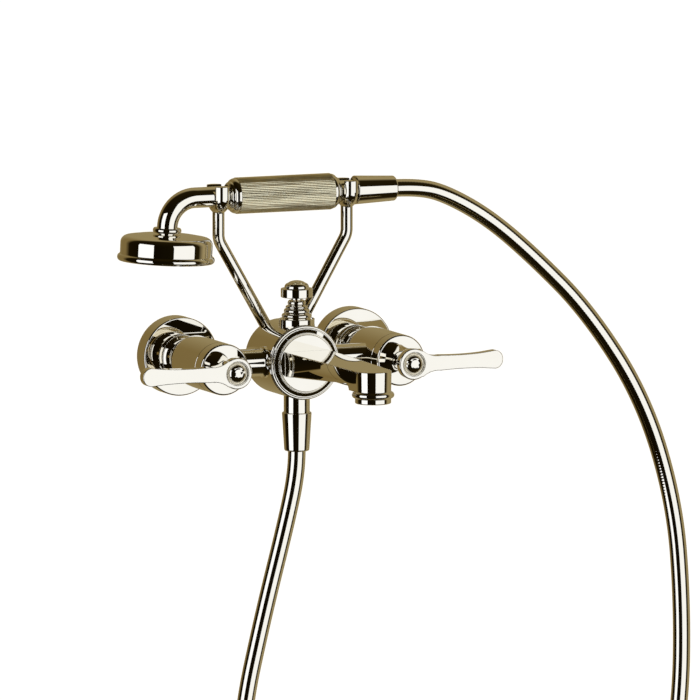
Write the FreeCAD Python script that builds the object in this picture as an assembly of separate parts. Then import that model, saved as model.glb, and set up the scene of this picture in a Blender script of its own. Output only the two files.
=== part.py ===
"""Wall mounted bath faucet with quarter-turn levers, pull-up diverter, cradle and hand shower.

Units are millimetres. The origin is on the wall, midway between the two inlets.
+X points right, +Y points into the wall and +Z points up, so a part that stands out
from the wall lies at negative Y. Profiles measure that distance as a height above the wall.
"""
import FreeCAD, Part
import math
import os

# ---------------------------------------------------------------- driving dimensions
INLET_SPACING = 150.0          # centre distance of the two wall inlets
SIDES = {"left": -1, "right": 1}

HALF_INCH_THREAD_R = 10.48     # G1/2 male thread
THREE_QUARTER_THREAD_R = 13.22  # G3/4 male thread
HOSE_THREAD_R = 9.95           # mean radius of the shower thread inside the hose nuts
RUNNING_FIT = 0.05             # radial gap of a shaft in its guide
LOOSE_FIT = 0.10               # radial gap of still parts that slip together

FLANGE_R = 31.2                # escutcheon
FLANGE_DEPTH = 16.0
UNION_BORE_R = 7.5
UNION_END = 27.0               # front end of the inlet union
NUT_RIM_R = 17.6               # back rim of the round union nut
NUT_WAIST_R = 15.5
NUT_FRONT_R = 16.8
NUT_BACK = 16.8
NUT_FRONT = 37.9

TAIL_R = 10.2                  # tail of the valve body, held by the union nut
TAIL_COLLAR_R = 12.9
TAIL_BACK = UNION_END + 2
TAIL_LIP = TAIL_BACK + 3
NUT_TAIL_GAP = 0.2

BODY_R = 20.3                  # valve body and bezel
BODY_BACK = 44.5
BODY_FRONT = 93.5
BEZEL_FRONT = 106.0
CHAMBER_R = 12.6
CHAMBER_FLOOR = 54.0
TUBE_OUTER_X = BODY_R - 5.0    # depth of the cross tube's socket, from the valve's axis
CARTRIDGE_R = CHAMBER_R - LOOSE_FIT
DISC_SEAT = CHAMBER_FLOOR + 2
FIXED_DISC_FRONT = DISC_SEAT + 3.5
MOVING_DISC_BACK = FIXED_DISC_FRONT + RUNNING_FIT
MOVING_DISC_FRONT = MOVING_DISC_BACK + 3.3
DISC_PORT_R = 8.2              # outer radius of the openings in the ceramic discs
SPINDLE_R = 5.0
SPINDLE_STEP = 98.5
SPINDLE_END = 118.0

LEVER_HUB_R = 12.4
LEVER_FRONT = 132.4            # front of the lever's ring
LEVER_LENGTH = 77.8            # hub axis to lever tip
LEVER_NECK_R = 7.2
BUTTON_BORE_R = 9.4
SQUARE_DRIVE = 7.0
SCREW_R = 2.0
SCREW_SEAT = 121.0
BUTTON_SEAT = 126.5

WATERWAY_DEPTH = 72.5          # distance from the wall to the cross tubes and the diverter
CROSS_TUBE_R = 11.0
TUBE_FLARE_R = 12.6
TUBE_FLARE_START = 29.4        # where the flare begins to narrow, from the drum's axis
CROSS_TUBE_BORE_R = 8.2

DRUM_R = 29.6
DRUM_BACK = 37.0
DRUM_FRONT = 88.0
DRUM_WALL = 3.2
DISC_R = 22.5                  # proud mirror disc on the drum's front
DISC_FRONT = 93.5
CAP_SKIRT_R = DRUM_R - DRUM_WALL - LOOSE_FIT
SEAL_WIRE_R = 0.75
SEAL_R = CAP_SKIRT_R - SEAL_WIRE_R
SEAL_DEPTH = DRUM_FRONT - 1.9

SPOUT_TOP = 9.7
SPOUT_ROOT_HALF = 19.0
SPOUT_DROP_DEPTH = 225.5       # distance from the wall to the outlet's axis
SPOUT_TAIL_R = 8.4
SPOUT_DRAFT = 1.5              # degrees by which each side leans in towards the underside
NOZZLE_R = 14.5
NOZZLE_BEAD_R = 16.6
NOZZLE_JOINT = -6.5            # where the beam ends and the nozzle's bead starts
BEAD_BOTTOM = -11.6
NOZZLE_BOTTOM = -15.8
AERATOR_THREAD_R = 11.0
AERATOR_BORE_R = 9.6

BONNET_R = 14.2                # diverter
BONNET_SPIGOT_R = BONNET_R - 3.0
COLLAR_FOOT = 25.0             # the collar is trimmed to the drum above this height
DIVERTER_TRAVEL = 8.0
STEM_R = 3.0
STEM_COLLAR_TOP = 32.5
SPRING_TOP = 43.4
PLUNGER_BOTTOM = -24.0

OUTLET_R = 10.3                # shower outlet under the drum
OUTLET_SHOULDER = -41.0
LOWER_NUT_BOTTOM = -71.6

CRADLE_DEPTH = 44.0            # distance from the wall to the hand shower's axis
CRADLE_ROD_R = 4.75
CRADLE_X = 54.7
CRADLE_ANGLE = 30.0            # lean of the rods from the vertical
CRADLE_BEND_R = 16.0
SADDLE_WIDTH = 12.0
SADDLE_INNER_R = 8.35
SADDLE_OUTER_R = 14.0
SADDLE_PRONG_TOP = 137.7

HANDSET_Z = 129.0
HANDSET_TUBE_R = 8.1
HANDSET_BORE_R = 6.0
ELBOW_X = -75.0                # where the arm starts to turn down
ELBOW_R = 23.2
ELBOW_TURN = 87.2
GRIP_HALF = 40.0
GRIP_CAP_END = 47.6
GRIP_R = 14.4
GRIP_FLUTES = 60
HEAD_R = 36.3
HEAD_BEAD_R = 38.4
HEAD_WALL = 1.6
NECK_END = 6.0                 # along the head's axis, from the elbow's end
NECK_R = 7.2
NOZZLE_RINGS = ((6.0, 6), (13.0, 12), (20.0, 18), (27.0, 24))  # radius and count
PLATE_BACK = 23.4
PLATE_FRONT = 26.0
UPPER_NUT_START = 61.1
UPPER_NUT_END = 95.4

HOSE_R = 7.0

# Centre line of the shower hose, from the nut under the drum to the nut on the hand shower.
HOSE_ROUTE = [
    (0.0, -72.5, LOWER_NUT_BOTTOM),
    (0.0, -72.5, -88.5),
    (-9.0, -72.5, -128.0),
    (-28.5, -72.5, -200.0),
    (-47.0, -72.0, -280.0),
    (-50.0, -71.0, -366.0),
    (-30.0, -70.0, -448.0),
    (26.0, -69.0, -526.0),
    (112.0, -68.0, -565.0),
    (204.0, -67.0, -557.0),
    (278.0, -66.0, -486.0),
    (318.0, -65.0, -392.0),
    (335.5, -64.5, -296.0),
    (337.5, -62.5, -212.0),
    (332.5, -58.0, -132.0),
    (307.5, -53.0, -48.0),
    (260.5, -49.0, 24.0),
    (212.0, -46.0, 72.0),
    (176.0, -45.0, 102.0),
    (142.0, -44.0, 121.5),
    (117.5, -CRADLE_DEPTH, HANDSET_Z),
    (UPPER_NUT_END + 0.05, -CRADLE_DEPTH, HANDSET_Z),
]

# ---------------------------------------------------------------- geometry helpers
OUT = FreeCAD.Vector(0, -1, 0)
UP = FreeCAD.Vector(0, 0, 1)
DOWN = FreeCAD.Vector(0, 0, -1)
RIGHT = FreeCAD.Vector(1, 0, 0)
LEFT = FreeCAD.Vector(-1, 0, 0)


def at(x, depth, z):
    """A point given by its distance out from the wall instead of its Y."""
    return FreeCAD.Vector(x, -depth, z)


def outline(points):
    """Closed face in the XZ plane. A point (x, z) ends a straight edge and
    (mid_x, mid_z, x, z) ends an arc through its middle point."""
    ends = [FreeCAD.Vector(p[-2], 0, p[-1]) for p in points]
    edges = []
    for index, point in enumerate(points):
        start = ends[index - 1]
        if (start - ends[index]).Length < 1e-6:
            continue
        if len(point) == 4:
            middle = FreeCAD.Vector(point[0], 0, point[1])
            edges.append(Part.Arc(start, middle, ends[index]).toShape())
        else:
            edges.append(Part.LineSegment(start, ends[index]).toShape())
    return Part.Face(Part.Wire(edges))


def placed(shape, base, direction):
    """Move a shape built along +Z so that it stands on base along direction."""
    shape.Placement = FreeCAD.Placement(base, FreeCAD.Rotation(UP, direction))
    return shape


def turned(points, base=FreeCAD.Vector(), direction=OUT):
    """Solid of revolution. Profile points are (radius, height) above base along direction."""
    solid = outline(points).revolve(FreeCAD.Vector(), UP, 360)
    return placed(solid, base, direction)


def rod(radius, low, high, base=FreeCAD.Vector(), direction=OUT):
    solid = Part.makeCylinder(radius, high - low, FreeCAD.Vector(0, 0, low))
    return placed(solid, base, direction)


def ring(inner, outer, low, high, base=FreeCAD.Vector(), direction=OUT):
    return rod(outer, low, high, base, direction).cut(rod(inner, low, high, base, direction))


def block(low, high):
    """Axis-aligned box between two corners."""
    corner = FreeCAD.Vector(*[min(a, b) for a, b in zip(low, high)])
    size = [abs(b - a) for a, b in zip(low, high)]
    return Part.makeBox(size[0], size[1], size[2], corner)


def hexagon_prism(across_flats, low, high, base, direction):
    """Hexagonal bar with both ends chamfered to the usual cone."""
    corner_r = across_flats / 2 / math.cos(math.pi / 6)
    corners = [FreeCAD.Vector(corner_r * math.cos(k * math.pi / 3), corner_r * math.sin(k * math.pi / 3), low)
               for k in range(7)]
    prism = Part.Face(Part.makePolygon(corners)).extrude(FreeCAD.Vector(0, 0, high - low))
    face_r = across_flats / 2 - 0.3
    drop = (corner_r - face_r) * math.tan(math.radians(30))
    envelope = turned([(0, low), (face_r, low), (corner_r, low + drop), (corner_r, high - drop),
                       (face_r, high), (0, high)], direction=UP)
    return placed(prism.common(envelope), base, direction)


def swept_tube(path, radius, start, direction):
    circle = Part.Wire(Part.makeCircle(radius, start, direction))
    return path.makePipeShell([circle], True, False)


def rounded_route(route):
    """Straight runs joined by tangent arcs. Each arc is as large as its two runs allow."""
    share = 0.45
    points = [FreeCAD.Vector(*p) for p in route]
    edges = []
    radii = []
    last = points[0]
    for before, corner, after in zip(points, points[1:], points[2:]):
        incoming = (corner - before).normalize()
        outgoing = (after - corner).normalize()
        reach = share * min((corner - before).Length, (after - corner).Length)
        half_turn = incoming.getAngle(outgoing) / 2
        radius = reach / math.tan(half_turn)
        arc_start = corner - incoming * reach
        arc_end = corner + outgoing * reach
        inward = (outgoing - incoming).normalize()
        centre = corner + inward * (radius / math.cos(half_turn))
        middle = centre - inward * radius
        edges.append(Part.LineSegment(last, arc_start).toShape())
        edges.append(Part.Arc(arc_start, middle, arc_end).toShape())
        radii.append(radius)
        last = arc_end
    edges.append(Part.LineSegment(last, points[-1]).toShape())
    return Part.Wire(edges), radii


# ---------------------------------------------------------------- places worked out from the above
DIVERTER_BASE = at(0, WATERWAY_DEPTH, 0)
ELBOW_CENTRE = at(ELBOW_X, CRADLE_DEPTH, HANDSET_Z - ELBOW_R)


def elbow_point(turn):
    """Point of the elbow's centre line after that many degrees of its turn."""
    angle = math.radians(90 + turn)
    return ELBOW_CENTRE + FreeCAD.Vector(ELBOW_R * math.cos(angle), 0, ELBOW_R * math.sin(angle))


HEAD_TILT = math.radians(90 - ELBOW_TURN)
HEAD_AXIS = FreeCAD.Vector(-math.sin(HEAD_TILT), 0, -math.cos(HEAD_TILT))
ELBOW_END = elbow_point(ELBOW_TURN)


# ---------------------------------------------------------------- inlets, one on each side
def inlet(side):
    return at(side * INLET_SPACING / 2, 0, 0)


def make_escutcheon(side):
    wall = 1.6
    hole_r = THREE_QUARTER_THREAD_R + 0.4
    return turned([
        (FLANGE_R, 0),
        (FLANGE_R, FLANGE_DEPTH - 1.2),
        (FLANGE_R - 0.35, FLANGE_DEPTH - 0.35, FLANGE_R - 1.2, FLANGE_DEPTH),
        (hole_r, FLANGE_DEPTH),
        (hole_r, FLANGE_DEPTH - wall),
        (FLANGE_R - wall, FLANGE_DEPTH - wall),
        (FLANGE_R - wall, 0),
    ], inlet(side))


def make_inlet_union(side):
    """Straight union: G1/2 into the wall, G3/4 under the union nut."""
    wall_end = -18.0
    shoulder_r = 12.4
    undercut_r = 9.3
    return turned([
        (UNION_BORE_R, wall_end),
        (HALF_INCH_THREAD_R - 0.9, wall_end),
        (HALF_INCH_THREAD_R, wall_end + 0.9),
        (HALF_INCH_THREAD_R, -2.0),
        (undercut_r, -2.0),
        (undercut_r, 0),
        (shoulder_r, 0),
        (shoulder_r, 9.0),
        (THREE_QUARTER_THREAD_R, 10.0),
        (THREE_QUARTER_THREAD_R, UNION_END - 0.8),
        (THREE_QUARTER_THREAD_R - 0.8, UNION_END),
        (UNION_BORE_R, UNION_END),
    ], inlet(side))


def make_union_washers():
    """Flat washers between each union and the tail of its valve body."""
    washers = [ring(8.0, 12.3, UNION_END, UNION_END + 2, inlet(side)) for side in SIDES.values()]
    return Part.makeCompound(washers)


def make_union_nut(side):
    """Round nut with a rolled back rim and a waist, tightened with a strap wrench."""
    thread_r = THREE_QUARTER_THREAD_R + RUNNING_FIT
    rim_end = NUT_BACK + 5.2
    return turned([
        (thread_r, NUT_BACK),
        (NUT_RIM_R - 1.2, NUT_BACK),
        (NUT_RIM_R, (NUT_BACK + rim_end) / 2, NUT_RIM_R - 1.2, rim_end),
        (NUT_WAIST_R + 0.4, rim_end + 0.4),
        (NUT_WAIST_R, rim_end + 5.0, NUT_FRONT_R, NUT_FRONT - 2.4),
        (NUT_FRONT_R + 0.4, NUT_FRONT - 1.2, NUT_FRONT_R, NUT_FRONT),
        (TAIL_R + NUT_TAIL_GAP, NUT_FRONT),
        (TAIL_R + NUT_TAIL_GAP, TAIL_LIP + RUNNING_FIT),
        (thread_r, TAIL_LIP + RUNNING_FIT),
    ], inlet(side))


# ---------------------------------------------------------------- valve bodies and cartridges
def make_valve_body(side):
    """Turned body with a tail for the union nut, a chamber for the cartridge and a side port."""
    boss_r = 17.4
    seam = 0.35
    base = inlet(side)
    body = turned([
        (UNION_BORE_R, TAIL_BACK),
        (TAIL_COLLAR_R, TAIL_BACK),
        (TAIL_COLLAR_R, TAIL_LIP),
        (TAIL_R, TAIL_LIP),
        (TAIL_R, NUT_FRONT + 0.1),
        (boss_r, NUT_FRONT + 0.1),
        (boss_r, BODY_BACK),
        (BODY_R - 1.2, BODY_BACK),
        (BODY_R - 0.35, BODY_BACK + 0.35, BODY_R, BODY_BACK + 1.2),
        (BODY_R, BODY_FRONT - seam),
        (BODY_R - seam, BODY_FRONT),
        (CHAMBER_R, BODY_FRONT),
        (CHAMBER_R, CHAMBER_FLOOR),
        (UNION_BORE_R, CHAMBER_FLOOR),
    ], base)
    centre = at(base.x, WATERWAY_DEPTH, 0)
    inwards = RIGHT * -side
    port = rod(CROSS_TUBE_BORE_R, 0, BODY_R + 1, centre, inwards)
    socket = rod(CROSS_TUBE_R + RUNNING_FIT, TUBE_OUTER_X, BODY_R + 5, centre, inwards)
    return body.cut(port).cut(socket)


def make_cartridge_seals():
    inner = UNION_BORE_R + 0.5
    seals = [ring(inner, 12.2, CHAMBER_FLOOR, DISC_SEAT, inlet(side)) for side in SIDES.values()]
    return Part.makeCompound(seals)


def disc_ports(base, low, high, start_angle):
    """Two opposite sector openings of a ceramic disc."""
    sector = 76
    openings = []
    for half in (0, 180):
        wedge = Part.makeCylinder(DISC_PORT_R, high - low, FreeCAD.Vector(0, 0, low), UP, sector)
        wedge = wedge.cut(Part.makeCylinder(2.5, high - low, FreeCAD.Vector(0, 0, low)))
        wedge.rotate(FreeCAD.Vector(), UP, start_angle + half - sector / 2)
        turn = FreeCAD.Placement(base, FreeCAD.Rotation(UP, OUT))
        openings.append(wedge.transformGeometry(turn.toMatrix()))
    return openings


def make_fixed_discs():
    discs = []
    for side in SIDES.values():
        disc = rod(10.0, DISC_SEAT, FIXED_DISC_FRONT, inlet(side))
        for opening in disc_ports(inlet(side), DISC_SEAT, FIXED_DISC_FRONT, 90):
            disc = disc.cut(opening)
        discs.append(disc)
    return Part.makeCompound(discs)


def tongue(side, low, high, width):
    """Bar across the valve axis that drives the moving disc."""
    x = side * INLET_SPACING / 2
    return block((x - width / 2, -low, -8.5), (x + width / 2, -high, 8.5))


def make_moving_disc(side):
    disc = rod(10.0, MOVING_DISC_BACK, MOVING_DISC_FRONT, inlet(side))
    for opening in disc_ports(inlet(side), MOVING_DISC_BACK, MOVING_DISC_FRONT, 0):
        disc = disc.cut(opening)
    return disc.cut(tongue(side, MOVING_DISC_FRONT - 1.3, MOVING_DISC_FRONT + 1, 3.2))


def make_cartridge_body(side):
    """Threaded cartridge shell with side windows, a spindle guide and a hexagon."""
    base = inlet(side)
    guide_r = SPINDLE_R + RUNNING_FIT
    disc_r = 10.1
    shell = turned([
        (disc_r, DISC_SEAT),
        (CARTRIDGE_R, DISC_SEAT),
        (CARTRIDGE_R, BODY_FRONT),
        (15.5, BODY_FRONT),
        (15.5, BODY_FRONT + 1.8),
        (guide_r, BODY_FRONT + 1.8),
        (guide_r, 82.0),
        (disc_r - 0.6, 80.0),
        (disc_r - 0.6, 67.4),
        (disc_r, 67.0),
    ], base)
    head = hexagon_prism(19.0, BODY_FRONT + 1.8, BODY_FRONT + 4.8, base, OUT)
    shell = shell.fuse(head.cut(rod(guide_r, BODY_FRONT, BODY_FRONT + 6, base))).removeSplitter()
    window = block((base.x - 14, -68.0, -6.5), (base.x + 14, -79.0, 6.5))
    return shell.cut(window)


def make_spindle(side):
    """Turns with the lever: a square drive in front and a tongue behind."""
    base = inlet(side)
    foot_back = MOVING_DISC_FRONT + 0.1
    shaft = rod(SPINDLE_R, foot_back, SPINDLE_STEP, base)
    foot = tongue(side, foot_back, foot_back + 3, 7.0)
    key = tongue(side, foot_back - 1.1, foot_back, 3.0)
    half = SQUARE_DRIVE / 2
    drive = block((base.x - half, -SPINDLE_STEP, -half), (base.x + half, -SPINDLE_END, half))
    spindle = shaft.fuse([foot, key, drive.common(rod(SPINDLE_R - 0.3, SPINDLE_STEP, SPINDLE_END, base))])
    return spindle.removeSplitter().cut(rod(SCREW_R + LOOSE_FIT, 107.5, SPINDLE_END + 0.5, base))


def make_valve_bezel(side):
    """Screwed front ring with a polished flat face, round the lever's neck."""
    seam = 0.35
    cavity_r = 16.2
    return turned([
        (BODY_R - seam, BODY_FRONT),
        (BODY_R, BODY_FRONT + seam),
        (BODY_R, BEZEL_FRONT - 1.6),
        (BODY_R - 0.47, BEZEL_FRONT - 0.47, BODY_R - 1.6, BEZEL_FRONT),
        (LEVER_NECK_R + 0.3, BEZEL_FRONT),
        (LEVER_NECK_R + 0.3, BEZEL_FRONT - 3),
        (cavity_r, BEZEL_FRONT - 3),
        (cavity_r, BODY_FRONT),
    ], inlet(side))


# ---------------------------------------------------------------- levers
def lever_outline():
    """Front view of the lever's bar: narrow behind the hub, wider at its round tip."""
    tip = LEVER_LENGTH
    return outline([
        (0, 11.2),
        (8.0, 10.0),
        (13.5, 7.0, 23.0, 6.0),
        (42.0, 5.5, 60.0, 6.1),
        (tip - 8.0, 7.1),
        (tip - 2.2, 5.4, tip, 0),
        (tip - 2.2, -5.4, tip - 8.0, -7.1),
        (60.0, -6.1),
        (42.0, -5.5, 23.0, -6.0),
        (13.5, -7.0, 8.0, -10.0),
        (0, -11.2),
    ])


def make_lever(side):
    """Trumpet hub with a square socket, and a bar swept slightly back to the wall."""
    base = inlet(side)
    hub = turned([
        (0, BEZEL_FRONT - 1.5),
        (LEVER_NECK_R, BEZEL_FRONT - 1.5),
        (LEVER_NECK_R, BEZEL_FRONT + 3),
        (8.3, 117.5, LEVER_HUB_R, 126.0),
        (LEVER_HUB_R, LEVER_FRONT - 1.0),
        (LEVER_HUB_R - 0.3, LEVER_FRONT - 0.3, LEVER_HUB_R - 1.0, LEVER_FRONT),
        (0, LEVER_FRONT),
    ], base)
    flat = lever_outline().extrude(FreeCAD.Vector(0, -200, 0))
    sweep = Part.Wire(Part.makePolygon([
        at(-1, LEVER_FRONT, 0),
        at(18, LEVER_FRONT, 0),
        at(50, LEVER_FRONT - 2.0, 0),
        at(90, LEVER_FRONT - 5.6, 0),
        at(90, LEVER_FRONT - 12.6, 0),
        at(50, LEVER_FRONT - 9.4, 0),
        at(18, LEVER_FRONT - 8.2, 0),
        at(-1, LEVER_FRONT - 8.2, 0),
        at(-1, LEVER_FRONT, 0),
    ]))
    slab = Part.Face(sweep).extrude(FreeCAD.Vector(0, 0, 60))
    slab.translate(FreeCAD.Vector(0, 0, -30))
    bar = flat.common(slab)
    if side < 0:
        bar = bar.mirror(FreeCAD.Vector(), FreeCAD.Vector(1, 0, 0))
    bar.translate(base)
    lever = hub.fuse(bar)
    half = SQUARE_DRIVE / 2 + RUNNING_FIT
    socket = block((base.x - half, -(BEZEL_FRONT - 3), -half), (base.x + half, -(SPINDLE_END + 0.3), half))
    lever = lever.cut(socket.common(rod(SPINDLE_R + 0.2, 100.0, SPINDLE_END + 0.3, base)))
    lever = lever.cut(rod(SCREW_R + LOOSE_FIT, SPINDLE_END, SCREW_SEAT + 1, base))
    lever = lever.cut(rod(4.4, SCREW_SEAT, BUTTON_SEAT, base))
    return lever.cut(rod(BUTTON_BORE_R, BUTTON_SEAT, LEVER_FRONT + 1, base))


def make_lever_screw(side):
    base = inlet(side)
    screw = turned([
        (0, 108.0),
        (SCREW_R, 108.0),
        (SCREW_R, SCREW_SEAT),
        (4.0, SCREW_SEAT),
        (4.0, SCREW_SEAT + 3.4),
        (3.6, SCREW_SEAT + 3.8),
        (0, SCREW_SEAT + 3.8),
    ], base)
    return screw.cut(hexagon_prism(2.5, SCREW_SEAT + 1.4, SCREW_SEAT + 4.5, base, OUT))


def make_lever_cap(side):
    """Domed button with a thin rim, pressed into the lever's ring."""
    base = inlet(side)
    rim_front = LEVER_FRONT - 0.9
    return turned([
        (0, BUTTON_SEAT),
        (BUTTON_BORE_R - LOOSE_FIT, BUTTON_SEAT),
        (BUTTON_BORE_R - LOOSE_FIT, rim_front - 1.6),
        (8.7, rim_front - 1.5, 8.2, rim_front - 0.6),
        (8.0, rim_front - 0.2, 7.7, rim_front - 0.5),
        (7.5, rim_front - 0.9),
        (6.6, rim_front + 1.3, 4.6, rim_front + 2.5),
        (2.4, rim_front + 3.2, 0.5, rim_front + 3.3),
        (0, rim_front + 3.3),
    ], base)


# ---------------------------------------------------------------- bridge: tubes and drum
def make_cross_tube(side):
    """Tube from the valve body's socket into the drum's wall, with a flare that meets the drum."""
    valve_x = INLET_SPACING / 2 - TUBE_OUTER_X
    drum_x = math.sqrt(DRUM_R ** 2 - CROSS_TUBE_R ** 2) - 1.5
    base = at(0, WATERWAY_DEPTH, 0)
    tube = ring(CROSS_TUBE_BORE_R, CROSS_TUBE_R, drum_x, valve_x, base, RIGHT * side)
    flare = turned([
        (CROSS_TUBE_R - 1.0, drum_x),
        (TUBE_FLARE_R, drum_x),
        (TUBE_FLARE_R, TUBE_FLARE_START),
        (CROSS_TUBE_R + 0.4, TUBE_FLARE_START + 1.2, CROSS_TUBE_R, TUBE_FLARE_START + 3.2),
        (CROSS_TUBE_R - 1.0, TUBE_FLARE_START + 3.2),
    ], base, RIGHT * side)
    drum = rod(DRUM_R + RUNNING_FIT, DRUM_BACK - 5, DRUM_FRONT + 5)
    return tube.fuse(flare.cut(drum)).removeSplitter()


def make_drum_body():
    """Round mixing chamber, open in front, with holes for tubes, diverter and outlet."""
    cavity_r = DRUM_R - DRUM_WALL
    body = turned([
        (0, DRUM_BACK),
        (DRUM_R - 1.5, DRUM_BACK),
        (DRUM_R - 0.44, DRUM_BACK + 0.44, DRUM_R, DRUM_BACK + 1.5),
        (DRUM_R, DRUM_FRONT - 0.4),
        (DRUM_R - 0.4, DRUM_FRONT),
        (cavity_r, DRUM_FRONT),
        (cavity_r, DRUM_BACK + DRUM_WALL + 9),
        (cavity_r - 2.5, DRUM_BACK + DRUM_WALL + 6.5),
        (0, DRUM_BACK + DRUM_WALL + 6.5),
    ])
    centre = at(0, WATERWAY_DEPTH, 0)
    cutters = [rod(CROSS_TUBE_R + RUNNING_FIT, 15, 40, centre, RIGHT * side) for side in SIDES.values()]
    cutters.append(rod(BONNET_SPIGOT_R + LOOSE_FIT, 0, 40, centre, UP))
    cutters.append(rod(OUTLET_R - 1.0 + LOOSE_FIT, 0, 40, centre, DOWN))
    for cutter in cutters:
        body = body.cut(cutter)
    return body


def make_drum_front_cap():
    """Stepped front ring with two beads, a wide cone, a narrow cove and the proud flat disc."""
    return turned([
        (SPOUT_TAIL_R + LOOSE_FIT, DRUM_FRONT - 1.2),
        (22.8, DRUM_FRONT - 1.2),
        (22.8, DRUM_FRONT - 3.8),
        (CAP_SKIRT_R, DRUM_FRONT - 3.8),
        (CAP_SKIRT_R, SEAL_DEPTH - SEAL_WIRE_R - LOOSE_FIT),
        (SEAL_R - SEAL_WIRE_R - LOOSE_FIT, SEAL_DEPTH - SEAL_WIRE_R - LOOSE_FIT),
        (SEAL_R - SEAL_WIRE_R - LOOSE_FIT, SEAL_DEPTH + SEAL_WIRE_R + LOOSE_FIT),
        (CAP_SKIRT_R, SEAL_DEPTH + SEAL_WIRE_R + LOOSE_FIT),
        (CAP_SKIRT_R, DRUM_FRONT),
        (28.4, DRUM_FRONT),
        (29.3, DRUM_FRONT + 1.0, 28.4, DRUM_FRONT + 2.0),
        (27.8, DRUM_FRONT + 2.0),
        (27.6, DRUM_FRONT + 2.9, 26.8, DRUM_FRONT + 3.1),
        (26.6, DRUM_FRONT + 3.0),
        (23.9, DRUM_FRONT + 4.1),
        (23.2, DRUM_FRONT + 3.4, DISC_R, DRUM_FRONT + 4.0),
        (DISC_R, DISC_FRONT - 0.3),
        (DISC_R - 0.3, DISC_FRONT),
        (SPOUT_TAIL_R + LOOSE_FIT, DISC_FRONT),
    ])


def make_drum_seal():
    """O-ring in the groove of the cap's skirt."""
    return turned([
        (SEAL_R - SEAL_WIRE_R, SEAL_DEPTH),
        (SEAL_R, SEAL_DEPTH - SEAL_WIRE_R, SEAL_R + SEAL_WIRE_R, SEAL_DEPTH),
        (SEAL_R, SEAL_DEPTH + SEAL_WIRE_R, SEAL_R - SEAL_WIRE_R, SEAL_DEPTH),
    ])


# ---------------------------------------------------------------- spout and aerator
def spout_side_view():
    """Side view of the spout in (distance from wall, Z), stopping at the outlet's axis."""
    axis = SPOUT_DROP_DEPTH
    back = axis - NOZZLE_R
    return outline([
        (DISC_FRONT, SPOUT_TOP),
        (axis, SPOUT_TOP),
        (axis, NOZZLE_JOINT),
        (back + 0.6, NOZZLE_JOINT),
        (back - 1.2, -3.2, back - 6.0, -1.8),
        (DISC_FRONT, -SPOUT_TOP),
    ])


def draft_at(z):
    """How far the spout's side has moved in at a height below its top."""
    return (SPOUT_TOP - z) * math.tan(math.radians(SPOUT_DRAFT))


def spout_plan(z):
    """Top view of the spout's tapered beam at one height."""
    root = SPOUT_ROOT_HALF - draft_at(z)
    end = NOZZLE_R - draft_at(z)
    return Part.makePolygon([
        at(-root, DISC_FRONT - 1, z),
        at(root, DISC_FRONT - 1, z),
        at(end, SPOUT_DROP_DEPTH, z),
        at(-end, SPOUT_DROP_DEPTH, z),
        at(-root, DISC_FRONT - 1, z),
    ])


def make_spout():
    """Flat-topped spout with straight tapered sides, ending in a round downturned nozzle."""
    axis = SPOUT_DROP_DEPTH
    side_view = spout_side_view().extrude(FreeCAD.Vector(0, 80, 0))
    side_view.rotate(FreeCAD.Vector(), UP, -90)
    side_view.translate(FreeCAD.Vector(-40, 0, 0))
    plan = Part.makeLoft([spout_plan(-SPOUT_TOP - 1), spout_plan(SPOUT_TOP + 1)], True, True)
    beam = side_view.common(plan)
    nozzle = turned([
        (0, NOZZLE_JOINT),
        (NOZZLE_R - draft_at(NOZZLE_JOINT), NOZZLE_JOINT),
        (NOZZLE_R - draft_at(SPOUT_TOP - 0.6), SPOUT_TOP - 0.6),
        (NOZZLE_R - 0.2, SPOUT_TOP - 0.18, NOZZLE_R - 0.6, SPOUT_TOP),
        (0, SPOUT_TOP),
    ], at(0, axis, 0), UP)
    bead = turned([
        (0, BEAD_BOTTOM),
        (NOZZLE_BEAD_R - 1.9, BEAD_BOTTOM),
        (NOZZLE_BEAD_R, (BEAD_BOTTOM + NOZZLE_JOINT) / 2, NOZZLE_BEAD_R - 1.9, NOZZLE_JOINT),
        (0, NOZZLE_JOINT),
    ], at(0, axis, 0), UP)
    tail = rod(SPOUT_TAIL_R, DRUM_FRONT - 4.5, DISC_FRONT + 1)
    spout = beam.fuse([nozzle, bead, tail]).removeSplitter()
    channel = Part.makeLoft([
        channel_section(DISC_FRONT + 6, 10.0, -4.0, 6.4),
        channel_section(axis - 4, 8.0, 1.2, 6.6),
    ], True)
    spout = spout.cut(channel)
    spout = spout.cut(rod(SPOUT_TAIL_R - 2.2, DRUM_FRONT - 5, DISC_FRONT + 8))
    return spout.cut(rod(AERATOR_THREAD_R + LOOSE_FIT, -12, 6.6, at(0, axis, 0), UP))


def channel_section(depth, half_width, low, high):
    return Part.makePolygon([
        at(-half_width, depth, low),
        at(half_width, depth, low),
        at(half_width, depth, high),
        at(-half_width, depth, high),
        at(-half_width, depth, low),
    ])


def make_aerator_housing():
    """Threaded ring that holds the jet insert in the nozzle."""
    return turned([
        (AERATOR_BORE_R, -1.6),
        (AERATOR_THREAD_R, -1.6),
        (AERATOR_THREAD_R, BEAD_BOTTOM),
        (13.8, BEAD_BOTTOM),
        (14.1, BEAD_BOTTOM - 0.4),
        (14.1, NOZZLE_BOTTOM + 0.9),
        (13.8, NOZZLE_BOTTOM + 0.25, 13.0, NOZZLE_BOTTOM),
        (8.4, NOZZLE_BOTTOM),
        (8.4, NOZZLE_BOTTOM + 1.2),
        (AERATOR_BORE_R, NOZZLE_BOTTOM + 1.2),
    ], at(0, SPOUT_DROP_DEPTH, 0), UP)


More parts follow.
